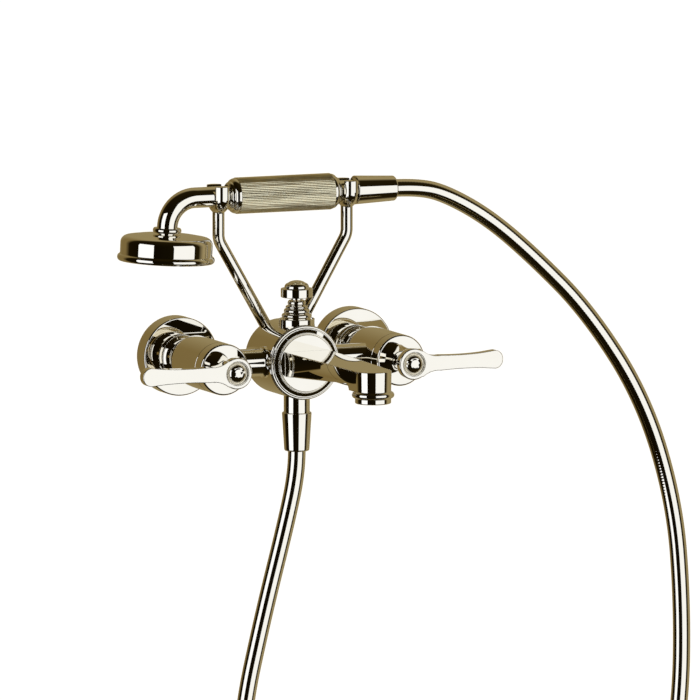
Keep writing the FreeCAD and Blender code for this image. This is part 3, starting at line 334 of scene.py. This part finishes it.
# ---------------------------------------------------------------- materials
def new_material(name):
    material = bpy.data.materials.new(name)
    material.use_nodes = True
    nodes = material.node_tree.nodes
    return material, nodes, material.node_tree.links, nodes["Principled BSDF"]


def add_noise(nodes, links, scale, detail):
    place = nodes.new("ShaderNodeTexCoord")
    texture = nodes.new("ShaderNodeTexNoise")
    texture.inputs["Scale"].default_value = scale
    texture.inputs["Detail"].default_value = detail
    links.new(place.outputs["Object"], texture.inputs["Vector"])
    return texture


def vary(nodes, links, texture, socket, low, high):
    """Drive a number socket between two values from a texture."""
    span = nodes.new("ShaderNodeMapRange")
    span.inputs["From Min"].default_value = VARY_SPAN[0]
    span.inputs["From Max"].default_value = VARY_SPAN[1]
    span.inputs["To Min"].default_value = low
    span.inputs["To Max"].default_value = high
    links.new(texture.outputs["Fac"], span.inputs["Value"])
    links.new(span.outputs["Result"], socket)


def tint(nodes, links, texture, shader, low, high):
    """Drive the base colour between two colours from a texture."""
    ramp = nodes.new("ShaderNodeValToRGB")
    ramp.color_ramp.elements[0].position = TINT_SPAN[0]
    ramp.color_ramp.elements[0].color = (*low, 1)
    ramp.color_ramp.elements[1].position = TINT_SPAN[1]
    ramp.color_ramp.elements[1].color = (*high, 1)
    links.new(texture.outputs["Fac"], ramp.inputs["Fac"])
    links.new(ramp.outputs["Color"], shader.inputs["Base Color"])


def add_bump(nodes, links, texture, shader, strength, distance):
    bump = nodes.new("ShaderNodeBump")
    bump.inputs["Strength"].default_value = strength
    bump.inputs["Distance"].default_value = distance
    links.new(texture.outputs["Fac"], bump.inputs["Height"])
    links.new(bump.outputs["Normal"], shader.inputs["Normal"])
    return bump


def soften_edges(nodes, links, bump, radius):
    """Shade sharp edges as if they were rounded to a radius."""
    bevel = nodes.new("ShaderNodeBevel")
    bevel.samples = EDGE_SAMPLES
    bevel.inputs["Radius"].default_value = radius
    links.new(bevel.outputs["Normal"], bump.inputs["Normal"])


def surface(name, low, high, roughness, metallic, scale, bump, edge_radius=0.0):
    """Node material with a faint cloud of colour and gloss, and a finer grain as relief.

    Roughness runs between two values, and bump is its strength and its distance in metres.
    """
    material, nodes, links, shader = new_material(name)
    shader.inputs["Metallic"].default_value = metallic
    cloud = add_noise(nodes, links, scale, CLOUD_DETAIL)
    tint(nodes, links, cloud, shader, low, high)
    vary(nodes, links, cloud, shader.inputs["Roughness"], *roughness)
    grain = add_noise(nodes, links, scale * GRAIN_RATE, GRAIN_DETAIL)
    relief = add_bump(nodes, links, grain, shader, *bump)
    if edge_radius:
        soften_edges(nodes, links, relief, edge_radius)
    return material


def make_materials():
    nickel = {
        "low": (0.905, 0.875, 0.79), "high": (0.915, 0.885, 0.805), "roughness": (0.004, 0.010),
        "metallic": 1.0, "scale": 60.0, "bump": (0.003, 0.00001),
    }
    return {
        "polished_nickel": surface("polished_nickel", **nickel),
        "cast_nickel": surface("cast_nickel", edge_radius=CAST_EDGE_R, **nickel),
        "reeded_nickel": surface(
            "reeded_nickel", low=(0.99, 0.89, 0.61), high=(1.0, 0.95, 0.70), roughness=(0.28, 0.34),
            metallic=1.0, scale=400.0, bump=(0.02, 0.00004)),
        "raw_brass": surface(
            "machined_brass", low=(0.62, 0.45, 0.18), high=(0.72, 0.54, 0.25), roughness=(0.22, 0.38),
            metallic=1.0, scale=90.0, bump=(0.15, 0.0001)),
        "steel": surface(
            "spring_steel", low=(0.50, 0.49, 0.47), high=(0.58, 0.57, 0.55), roughness=(0.25, 0.35),
            metallic=1.0, scale=90.0, bump=(0.1, 0.0001)),
        "rubber": surface(
            "black_rubber", low=(0.012, 0.012, 0.012), high=(0.025, 0.025, 0.024), roughness=(0.55, 0.75),
            metallic=0.0, scale=120.0, bump=(0.2, 0.0001)),
        "ceramic": surface(
            "lapped_ceramic", low=(0.78, 0.77, 0.73), high=(0.84, 0.83, 0.80), roughness=(0.12, 0.2),
            metallic=0.0, scale=80.0, bump=(0.02, 0.0001)),
        "plastic": surface(
            "moulded_plastic", low=(0.60, 0.59, 0.56), high=(0.68, 0.67, 0.64), roughness=(0.3, 0.45),
            metallic=0.0, scale=90.0, bump=(0.1, 0.0001)),
    }


def dress_cad_nodes(frame, materials):
    """Give every CAD node the material of its slot, and the cast ones their softened edges."""
    for name, node in frame["nodes"].items():
        slot = node.data.materials[0].name.split(".")[0]
        if name in CAST_NODES:
            slot = "cast_nickel"
        node.data.materials.clear()
        node.data.materials.append(materials[slot])


# ---------------------------------------------------------------- mesh helpers
def arc_points(start, middle, end):
    """Points after start along the arc through middle to end, in the plane of a profile."""
    (ax, ay), (bx, by), (cx, cy) = start, middle, end
    scale = 2 * (ax * (by - cy) + bx * (cy - ay) + cx * (ay - by))
    a2, b2, c2 = ax * ax + ay * ay, bx * bx + by * by, cx * cx + cy * cy
    ux = (a2 * (by - cy) + b2 * (cy - ay) + c2 * (ay - by)) / scale
    uy = (a2 * (cx - bx) + b2 * (ax - cx) + c2 * (bx - ax)) / scale
    radius = math.hypot(ax - ux, ay - uy)
    first = math.atan2(ay - uy, ax - ux)
    through = (math.atan2(by - uy, bx - ux) - first) % (2 * math.pi)
    sweep = (math.atan2(cy - uy, cx - ux) - first) % (2 * math.pi)
    if through > sweep:
        sweep -= 2 * math.pi
    steps = max(3, math.ceil(abs(sweep) / ARC_STEP))
    angles = [first + sweep * k / steps for k in range(1, steps + 1)]
    return [(ux + radius * math.cos(a), uy + radius * math.sin(a)) for a in angles]


def expand(profile):
    """Closed line of points from corners (r, h) and arcs (mid_r, mid_h, r, h)."""
    points = []
    for index, point in enumerate(profile):
        if len(point) == 4:
            points += arc_points(profile[index - 1][-2:], point[:2], point[2:])
        else:
            points.append(tuple(point))
    return points


def toward(start, end, distance):
    """Point at a distance from start on the way to end, or less far on a short run."""
    span = math.dist(start, end)
    share = min(distance / span, LARGEST_SHARE)
    return tuple(a + (b - a) * share for a, b in zip(start, end))


def soften(points):
    """Round each sharp corner a little, so that edges catch the light."""
    soft = []
    for before, corner, after in zip([points[-1]] + points[:-1], points, points[1:] + points[:1]):
        turn_in = math.atan2(corner[1] - before[1], corner[0] - before[0])
        turn_out = math.atan2(after[1] - corner[1], after[0] - corner[0])
        turn = abs((turn_out - turn_in + math.pi) % (2 * math.pi) - math.pi)
        if turn < SHARP_TURN or corner[0] < ON_AXIS:
            soft.append(corner)
            continue
        start = toward(corner, before, EDGE_ROUND)
        end = toward(corner, after, EDGE_ROUND)
        for k in range(EDGE_STEPS + 1):
            t = k / EDGE_STEPS
            soft.append(tuple((1 - t) ** 2 * a + 2 * t * (1 - t) * b + t * t * c
                              for a, b, c in zip(start, corner, end)))
    return soft


def supported(points):
    """Extra points close to both ends of each long run, which keep flat faces flat in reflections."""
    line = []
    for start, end in zip(points, points[1:] + points[:1]):
        line.append(start)
        if math.dist(start, end) > LONG_RUN:
            line.append(toward(start, end, SUPPORT))
            line.append(toward(end, start, SUPPORT))
    return line


def surface_line(profile):
    """Line of points that a profile is meshed along."""
    return supported(soften(expand(profile)))


def loop_faces(rows, columns, row_count, closed_rows):
    """Quads between neighbouring rings of vertices."""
    faces = []
    for row in range(row_count if closed_rows else row_count - 1):
        low = rows[row]
        high = rows[(row + 1) % row_count]
        for column in range(columns):
            after = (column + 1) % columns
            corners = [low[column % len(low)], low[after % len(low)],
                       high[after % len(high)], high[column % len(high)]]
            corners = list(dict.fromkeys(corners))
            if len(corners) > 2:
                faces.append(corners)
    return faces


def lathe_mesh(name, profile, base, direction, sides):
    """Solid of revolution about base along direction. The profile is in millimetres."""
    axis = Vector(direction).normalized()
    across = axis.orthogonal().normalized()
    other = axis.cross(across)
    vertices = []
    rows = []
    for radius, height in surface_line(profile):
        centre = Vector(base) + axis * height * MM
        if radius < ON_AXIS:
            rows.append([len(vertices)])
            vertices.append(centre)
            continue
        rows.append(list(range(len(vertices), len(vertices) + sides)))
        for k in range(sides):
            angle = 2 * math.pi * k / sides
            vertices.append(centre + (across * math.cos(angle) + other * math.sin(angle)) * radius * MM)
    faces = loop_faces(rows, sides, len(rows), True)
    return finished_mesh(name, vertices, faces)


def finished_mesh(name, vertices, faces):
    """Mesh with doubled vertices merged, faces outwards and smooth shading."""
    mesh = bpy.data.meshes.new(name)
    mesh.from_pydata([tuple(v) for v in vertices], [], faces)
    work = bmesh.new()
    work.from_mesh(mesh)
    bmesh.ops.remove_doubles(work, verts=work.verts, dist=MERGE_DISTANCE)
    bmesh.ops.recalc_face_normals(work, faces=work.faces)
    work.to_mesh(mesh)
    work.free()
    mesh.shade_smooth()
    return mesh


def add_piece(name, mesh, material, body, *nodes):
    """A visible piece that stands for CAD nodes and moves with one body."""
    mesh.materials.append(material)
    piece = bpy.data.objects.new(name, mesh)
    bpy.context.scene.collection.objects.link(piece)
    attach(piece, body)
    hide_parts(*nodes)
    return piece


def box_centre(node):
    low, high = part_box(node)
    return (Vector(low) + Vector(high)) / 2


def wall_base(node):
    """Foot, on the wall, of a part turned about an axis that stands out from the wall."""
    centre = box_centre(node)
    return Vector((centre.x, 0, centre.z))


def waterway_base(node):
    """Point at the height of the inlets on a vertical axis."""
    centre = box_centre(node)
    return Vector((centre.x, centre.y, 0))


def grip_base():
    centre = box_centre("grip_sleeve")
    return Vector((0, centre.y, centre.z))


# ---------------------------------------------------------------- turned profiles, in millimetres
def escutcheon_profile():
    return [(31.2, 0), (31.2, 14.8), (30.85, 15.65, 30.0, 16.0), (13.62, 16.0), (13.62, 14.4),
            (29.6, 14.4), (29.6, 0)]


def union_nut_profile():
    return [(13.27, 16.8), (16.4, 16.8), (17.6, 19.4, 16.4, 22.0), (15.9, 22.4), (15.5, 27.0, 16.8, 35.5),
            (17.2, 36.7, 16.8, 37.9), (10.4, 37.9), (10.4, 32.05), (13.27, 32.05)]


def valve_body_profile():
    return [(7.5, 29.0), (12.9, 29.0), (12.9, 32.0), (10.2, 32.0), (10.2, 38.0), (17.4, 38.0),
            (17.4, 44.5), (19.1, 44.5), (19.95, 44.85, 20.3, 45.7), (20.3, 93.15), (19.95, 93.5),
            (12.6, 93.5), (12.6, 54.0), (7.5, 54.0)]


def valve_bezel_profile():
    return [(19.95, 93.5), (20.3, 93.85), (20.3, 104.4), (19.83, 105.53, 18.7, 106.0), (7.5, 106.0),
            (7.5, 103.0), (16.2, 103.0), (16.2, 93.5)]


def lever_cap_profile():
    return [(0, 126.5), (9.3, 126.5), (9.3, 129.9), (8.7, 130.0, 8.2, 130.9), (8.0, 131.3, 7.7, 131.0),
            (7.5, 130.6), (6.6, 132.8, 4.6, 134.0), (2.4, 134.7, 0.5, 134.8), (0, 134.8)]


def drum_body_profile():
    return [(0, 37.0), (28.1, 37.0), (29.16, 37.44, 29.6, 38.5), (29.6, 87.6), (29.2, 88.0), (26.4, 88.0),
            (26.4, 49.2), (23.9, 46.7), (0, 46.7)]


def drum_front_cap_profile():
    """Two beads, a wide cone, a narrow cove and the proud flat disc."""
    return [(8.5, 86.8), (22.8, 86.8), (22.8, 84.2), (26.3, 84.2), (26.3, 88.0), (28.4, 88.0),
            (29.3, 89.0, 28.4, 90.0), (27.8, 90.0), (27.6, 90.9, 26.8, 91.1), (26.6, 91.0),
            (23.9, 92.1), (23.2, 91.4, 22.5, 92.0), (22.5, 93.2), (22.2, 93.5), (8.5, 93.5)]


def aerator_housing_profile():
    return [(9.6, -1.6), (11.0, -1.6), (11.0, -11.6), (13.8, -11.6), (14.1, -12.0), (14.1, -14.9),
            (13.8, -15.55, 13.0, -15.8), (8.4, -15.8), (8.4, -14.6), (9.6, -14.6)]


def bonnet_profile():
    """Collar and four rings that step inwards."""
    return [(3.05, 22.0), (11.2, 22.0), (11.2, 28.4), (14.2, 25.0), (14.2, 32.5), (14.0, 33.1, 13.4, 33.3),
            (10.9, 33.3), (10.9, 33.6), (11.9, 35.5, 10.9, 37.2), (9.5, 37.4), (10.2, 39.2, 9.5, 40.9),
            (8.2, 41.1), (8.8, 42.3, 8.2, 43.4), (6.6, 43.8), (7.2, 45.7, 6.2, 47.7), (3.05, 47.7)]


def knob_profile():
    return [(3.02, 48.0), (4.6, 48.0), (4.6, 49.4), (4.9, 49.95, 5.6, 50.1), (12.2, 50.1), (12.6, 50.5),
            (12.6, 56.7), (12.2, 57.1), (9.9, 57.1), (9.7, 57.5), (9.3, 59.6, 7.9, 61.0), (7.5, 61.2),
            (7.1, 61.3), (4.0, 62.9, 0.5, 63.3), (0, 63.3), (0, 56.02), (3.02, 56.02)]


def outlet_profile():
    return [(6.0, 24.3), (9.3, 24.3), (9.3, 27.4), (10.3, 27.4), (10.3, 41.0), (9.95, 41.0), (9.95, 50.0),
            (6.0, 50.0)]


def hose_nut_profile(mouth_r, end_r, length):
    return [(10.0, 0), (mouth_r - 0.5, 0), (mouth_r, 0.5), (end_r + 0.05, length - 1.6),
            (end_r - 0.4, length - 0.4, end_r - 1.5, length), (7.1, length), (7.1, 15.0), (10.0, 15.0)]


def grip_cap_profile():
    """Quarter-round end with two steps, down to the tube."""
    return [(8.2, 40.0), (13.9, 40.0), (13.9, 40.8), (13.3, 43.0, 11.9, 44.4), (11.5, 44.4),
            (11.0, 46.0, 10.1, 46.8), (9.7, 46.8), (9.2, 47.6), (8.2, 47.6)]


def head_collar_profile():
    return [(6.0, 0.6), (10.4, 0.6), (11.3, 2.6, 10.4, 4.6), (7.2, 4.8), (7.2, 9.5), (6.0, 9.5)]


def head_shell_profile():
    """Low dome, round shoulder, straight band and a rolled bead at the mouth."""
    return [(7.25, 5.4), (8.6, 5.4), (21.0, 5.9, 31.3, 7.4), (35.0, 9.4, 36.3, 12.9), (36.3, 21.4),
            (36.5, 22.0, 37.1, 22.2), (38.4, 24.7, 37.1, 27.2), (34.7, 27.2), (34.7, 13.3),
            (22.0, 8.6, 7.25, 7.6)]


# ---------------------------------------------------------------- the hose
def spline_points(route):
    """Points along a NURBS curve with the route as its control points."""
    data = bpy.data.curves.new("hose_line", "CURVE")
    data.dimensions = "3D"
    data.resolution_u = HOSE_LINE_FINENESS
    spline = data.splines.new("NURBS")
    spline.points.add(len(route) - 1)
    for point, place in zip(spline.points, route):
        point.co = (*place, 1)
    spline.order_u = 3
    spline.use_endpoint_u = True
    line = bpy.data.objects.new("hose_line", data)
    mesh = bpy.data.meshes.new_from_object(line)
    points = [vertex.co.copy() for vertex in mesh.vertices]
    bpy.data.meshes.remove(mesh)
    bpy.data.objects.remove(line)
    bpy.data.curves.remove(data)
    return points


def evenly_spaced(points, step):
    """The same line with points about one step apart, and its unit tangents."""
    line = np.array(points)
    lengths = np.concatenate([[0], np.cumsum(np.linalg.norm(np.diff(line, axis=0), axis=1))])
    count = int(round(lengths[-1] / step))
    places = np.linspace(0, lengths[-1], count + 1)
    even = np.stack([np.interp(places, lengths, line[:, axis]) for axis in range(3)], axis=1)
    tangents = np.gradient(even, axis=0)
    tangents /= np.linalg.norm(tangents, axis=1)[:, None]
    return even, tangents, places


def tube_mesh(name, centres, tangents, radii):
    """Closed tube with one ring of vertices per centre; radii has one row per ring."""
    rings, sides = radii.shape
    normal = Vector(tangents[0]).orthogonal().normalized()
    angles = np.linspace(0, 2 * math.pi, sides, endpoint=False)
    vertices = np.zeros((rings, sides, 3))
    previous = Vector(tangents[0])
    for k in range(rings):
        tangent = Vector(tangents[k])
        normal = previous.rotation_difference(tangent) @ normal
        normal = (normal - tangent * normal.dot(tangent)).normalized()
        other = tangent.cross(normal)
        across = np.outer(np.cos(angles), normal) + np.outer(np.sin(angles), other)
        vertices[k] = centres[k] + across * radii[k][:, None]
        previous = tangent
    faces = []
    for k in range(rings - 1):
        low = k * sides
        high = low + sides
        faces += [(low + s, low + (s + 1) % sides, high + (s + 1) % sides, high + s)
                  for s in range(sides)]
    faces.append(tuple(range(sides - 1, -1, -1)))
    faces.append(tuple((rings - 1) * sides + s for s in range(sides)))
    mesh = bpy.data.meshes.new(name)
    mesh.from_pydata(vertices.reshape(-1, 3).tolist(), [], faces)
    mesh.shade_smooth()
    return mesh


def make_hose(material):
    """Metal hose with a fine spiral, from the nut under the drum to the hand shower's nut."""
    line = spline_points(HOSE_ROUTE)
    centres, tangents, places = evenly_spaced(line, HOSE_PITCH / HOSE_STEPS_PER_TURN)
    turn = 2 * math.pi * places[:, None] / HOSE_PITCH
    angles = np.linspace(0, 2 * math.pi, HOSE_SIDES, endpoint=False)[None, :]
    radii = HOSE_R - HOSE_RIDGE * (1 - np.cos(turn - angles))
    mesh = tube_mesh("hose_tube", centres, tangents, radii)
    mesh.materials.append(material)
    hose = bpy.data.objects.new("hose_tube", mesh)
    bpy.context.scene.collection.objects.link(hose)
    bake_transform(hose)
    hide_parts("shower_hose")


# ---------------------------------------------------------------- turned pieces
def add_turned(name, profile, base, direction, material, body, node, sides=SIDES_SMALL):
    mesh = lathe_mesh(name, profile, base, direction, sides)
    return add_piece(name, mesh, material, body, node)


def make_inlets_and_valves(metal):
    profiles = {
        "escutcheon": escutcheon_profile(),
        "union_nut": union_nut_profile(),
        "valve_body": valve_body_profile(),
        "valve_bezel": valve_bezel_profile(),
    }
    for side in SIDES:
        for part, profile in profiles.items():
            node = side + "_" + part
            add_turned(node + "_turned", profile, wall_base(node), OUT, metal, "faucet", node, SIDES_LARGE)
        cap = side + "_lever_cap"
        add_turned(cap + "_turned", lever_cap_profile(), wall_base(cap), OUT, metal, side + "_handle", cap)


def make_bridge(metal):
    drum = wall_base("drum_body")
    add_turned("drum_turned", drum_body_profile(), drum, OUT, metal, "faucet", "drum_body", SIDES_LARGE)
    add_turned("drum_front_turned", drum_front_cap_profile(), drum, OUT, metal, "faucet",
               "drum_front_cap", SIDES_LARGE)
    for side, direction in SIDES.items():
        node = side + "_cross_tube"
        low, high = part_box(node)
        centre = Vector((0, box_centre(node).y, box_centre(node).z))
        near = min(abs(low[0]), abs(high[0])) / MM
        far = max(abs(low[0]), abs(high[0])) / MM
        profile = [(CROSS_TUBE_BORE_R, near), (FLARE_R, near), (FLARE_R, FLARE_START),
                   (CROSS_TUBE_R + 0.4, FLARE_START + 1.2, CROSS_TUBE_R, FLARE_START + 3.2),
                   (CROSS_TUBE_R, far), (CROSS_TUBE_BORE_R, far)]
        add_turned(node + "_turned", profile, centre, direction, metal, "faucet", node)


def make_diverter_and_outlet(metal):
    base = waterway_base("diverter_knob")
    add_turned("bonnet_turned", bonnet_profile(), base, UP, metal, "faucet", "diverter_bonnet")
    add_turned("knob_turned", knob_profile(), base, UP, metal, "diverter", "diverter_knob")
    add_turned("outlet_turned", outlet_profile(), base, DOWN, metal, "faucet", "shower_outlet")
    nozzle = waterway_base("aerator_housing")
    add_turned("aerator_turned", aerator_housing_profile(), nozzle, UP, metal, "faucet", "aerator_housing")


def make_hose_nuts(metal):
    low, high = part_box("lower_hose_nut")
    centre = box_centre("lower_hose_nut")
    profile = hose_nut_profile(LOWER_NUT_MOUTH_R, NUT_END_R, (high[2] - low[2]) / MM)
    mouth = (centre.x, centre.y, high[2])
    add_turned("lower_nut_turned", profile, mouth, DOWN, metal, "faucet", "lower_hose_nut")
    low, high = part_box("upper_hose_nut")
    centre = box_centre("upper_hose_nut")
    profile = hose_nut_profile(UPPER_NUT_MOUTH_R, NUT_END_R, (high[0] - low[0]) / MM)
    mouth = (low[0], centre.y, centre.z)
    add_turned("upper_nut_turned", profile, mouth, RIGHT, metal, "handset", "upper_hose_nut")


def inner_tube_profile():
    low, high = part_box("handset_inner_tube")
    start = low[0] / MM
    end = high[0] / MM
    shoulder = end - THREAD_LENGTH
    return [(TUBE_BORE_R, start), (HANDSET_TUBE_R, start), (HANDSET_TUBE_R, shoulder - THREAD_SLOPE),
            (HOSE_THREAD_R, shoulder), (HOSE_THREAD_R, end), (TUBE_BORE_R, end)]


def make_handset_turnings(metal):
    base = grip_base()
    add_turned("inner_tube_turned", inner_tube_profile(), base, RIGHT, metal, "handset",
               "handset_inner_tube")
    add_turned("grip_front_cap_turned", grip_cap_profile(), base, LEFT, metal, "handset", "grip_front_cap")
    add_turned("grip_rear_cap_turned", grip_cap_profile(), base, RIGHT, metal, "handset", "grip_rear_cap")
    end = elbow_end()
    axis = head_axis()
    add_turned("head_collar_turned", head_collar_profile(), end, axis, metal, "handset", "head_collar")
    add_turned("head_shell_turned", head_shell_profile(), end, axis, metal, "handset",
               "shower_head_shell", SIDES_LARGE)


# ---------------------------------------------------------------- bent tubes, saddles and grip
def head_axis():
    """Direction of the spray: down, tilted by what the elbow's turn lacks of a right angle."""
    tilt = math.radians(90 - ELBOW_TURN)
    return Vector((-math.sin(tilt), 0, -math.cos(tilt)))


def elbow_corner():
    """Where the arm's straight line and the head's axis cross."""
    reach = ELBOW_R * math.tan(math.radians(ELBOW_TURN / 2))
    return grip_base() + Vector((ELBOW_X - reach, 0, 0)) * MM


def elbow_end():
    return elbow_corner() + head_axis() * ELBOW_R * math.tan(math.radians(ELBOW_TURN / 2)) * MM


def bent_line(start, corner, end, radius):
    """Centre line of a bent tube: straight, one arc and straight, with its unit tangents."""
    incoming = (corner - start).normalized()
    outgoing = (end - corner).normalized()
    turn = incoming.angle(outgoing)
    reach = radius * math.tan(turn / 2)
    axis = incoming.cross(outgoing).normalized()
    inward = axis.cross(incoming)
    arc_start = corner - incoming * reach
    centre = arc_start + inward * radius
    points = [start, start.lerp(arc_start, 1 - END_RING)]
    tangents = [incoming, incoming]
    for k in range(BEND_STEPS + 1):
        angle = turn * k / BEND_STEPS
        turned = Quaternion(axis, angle)
        points.append(centre + turned @ (-inward * radius))
        tangents.append(turned @ incoming)
    points += [end.lerp(corner + outgoing * reach, END_RING), end]
    tangents += [outgoing, outgoing]
    return np.array(points), np.array(tangents)


def make_bent_tube(name, line, radius, metal, body, node):
    centres, tangents = line
    mesh = tube_mesh(name, centres, tangents, np.full((len(centres), SIDES_SMALL), radius * MM))
    mesh.set_sharp_from_angle(angle=SHARP_TURN)
    return add_piece(name, mesh, metal, body, node)


def make_cradle_arms(metal):
    drum = box_centre("drum_body")
    for side, direction in SIDES.items():
        saddle = box_centre(side + "_saddle")
        axis_z = box_centre("grip_sleeve").z
        lean = math.radians(CRADLE_LEAN)
        corner = Vector((saddle.x, saddle.y, drum.z + abs(saddle.x) / math.tan(lean)))
        slope = Vector((direction[0] * math.sin(lean), 0, math.cos(lean)))
        start = Vector((0, saddle.y, drum.z)) + slope * ROD_START_R * MM
        end = Vector((saddle.x, saddle.y, axis_z - (SADDLE_INNER_R + ROD_END_GAP) * MM))
        line = bent_line(start, corner, end, CRADLE_BEND_R * MM)
        make_bent_tube(side + "_cradle_rod", line, CRADLE_ROD_R, metal, "faucet", side + "_cradle_arm")


def make_handset_arm(metal):
    low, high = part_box("handset_arm")
    start = Vector((high[0], grip_base().y, grip_base().z))
    end = elbow_end() + head_axis() * HEAD_SOCKET * MM
    line = bent_line(start, elbow_corner(), end, ELBOW_R * MM)
    make_bent_tube("handset_arm_tube", line, HANDSET_TUBE_R, metal, "handset", "handset_arm")


def saddle_section():
    """Flat inside, half round outside: (distance from the hand shower's axis, place along it)."""
    half = SADDLE_WIDTH / 2
    edge_r = SADDLE_INNER_R + SADDLE_EDGE
    return surface_line([(SADDLE_INNER_R, -half), (SADDLE_INNER_R, half), (edge_r, half),
                         (SADDLE_OUTER_R, 0, edge_r, -half)])


def shrunk(section, inset):
    """The section drawn in by an inset on every side."""
    middle_r = (SADDLE_INNER_R + SADDLE_OUTER_R) / 2
    return [(r + math.copysign(min(inset, abs(middle_r - r)), middle_r - r),
             x - math.copysign(min(inset, abs(x)), x)) for r, x in section]


def make_saddles(metal):
    """Hook of half-round bar: one prong in front, a bowl below and one prong behind."""
    section = saddle_section()
    for side in SIDES:
        node = side + "_saddle"
        centre = Vector((box_centre(node).x, box_centre(node).y, box_centre("grip_sleeve").z))
        rise = (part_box(node)[1][2] - centre.z) / MM
        prong = [(rise, PRONG_ROUND), (rise - PRONG_ROUND, 0), (rise - 2 * PRONG_ROUND, 0)]
        stations = [(0, lift, inset) for lift, inset in prong]
        stations += [(180 * k / BEND_STEPS, 0, 0) for k in range(BEND_STEPS + 1)]
        stations += [(180, lift, inset) for lift, inset in reversed(prong)]
        vertices = []
        rows = []
        for angle, lift, inset in stations:
            outward = Vector((0, -math.cos(math.radians(angle)), -math.sin(math.radians(angle))))
            rows.append(list(range(len(vertices), len(vertices) + len(section))))
            for r, x in shrunk(section, inset):
                vertices.append(centre + (outward * r + Vector((x, 0, lift))) * MM)
        faces = loop_faces(rows, len(section), len(rows), False) + [rows[0], rows[-1]]
        mesh = finished_mesh(node + "_hook", vertices, faces)
        mesh.set_sharp_from_angle(angle=SHARP_TURN)
        add_piece(node + "_hook", mesh, metal, "faucet", node)


def flute_radius(angle, along):
    """Reeded surface with flutes that wander a little, as hand-finished reeding does."""
    round_y = FLUTE_WANDER_TURN * math.cos(angle)
    round_z = FLUTE_WANDER_TURN * math.sin(angle)
    spot = Vector((along * FLUTE_WANDER_SCALE, round_y, round_z))
    wander = FLUTE_WANDER * noise.noise(spot)
    depth = FLUTE_DEPTH * (1 + FLUTE_UNEVEN * noise.noise(spot * FLUTE_UNEVEN_RATE))
    return GRIP_R - depth * (1 - abs(math.sin(GRIP_FLUTES / 2 * angle + wander)))


def make_grip(material):
    low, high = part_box("grip_sleeve")
    base = grip_base()
    start = low[0] / MM
    end = high[0] / MM
    sides = GRIP_FLUTES * FLUTE_STEPS
    angles = [2 * math.pi * k / sides for k in range(sides)]
    rings = [(start + (end - start) * k / GRIP_RINGS, True) for k in range(GRIP_RINGS + 1)]
    rings += [(end, False), (start, False)]
    vertices = []
    rows = []
    for along, outside in rings:
        rows.append(list(range(len(vertices), len(vertices) + sides)))
        for angle in angles:
            radius = flute_radius(angle, along) if outside else GRIP_BORE_R
            offset = Vector((along, radius * math.cos(angle), radius * math.sin(angle)))
            vertices.append(base + offset * MM)
    mesh = finished_mesh("grip_reeded", vertices, loop_faces(rows, sides, len(rows), True))
    mesh.set_sharp_from_angle(angle=2 * SHARP_TURN)
    add_piece("grip_reeded", mesh, material, "handset", "grip_sleeve")


# ---------------------------------------------------------------- the scene
def main():
    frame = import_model()
    bpy.context.scene.view_settings.view_transform = "Standard"
    add_camera()
    materials = make_materials()
    metal = materials["polished_nickel"]
    make_hose(metal)
    make_inlets_and_valves(metal)
    make_bridge(metal)
    make_diverter_and_outlet(metal)
    make_hose_nuts(metal)
    make_handset_turnings(metal)
    make_cradle_arms(metal)
    make_handset_arm(metal)
    make_saddles(metal)
    make_grip(materials["reeded_nickel"])
    add_lights()
    add_world()
    add_floor()
    dress_cad_nodes(frame, materials)


main()
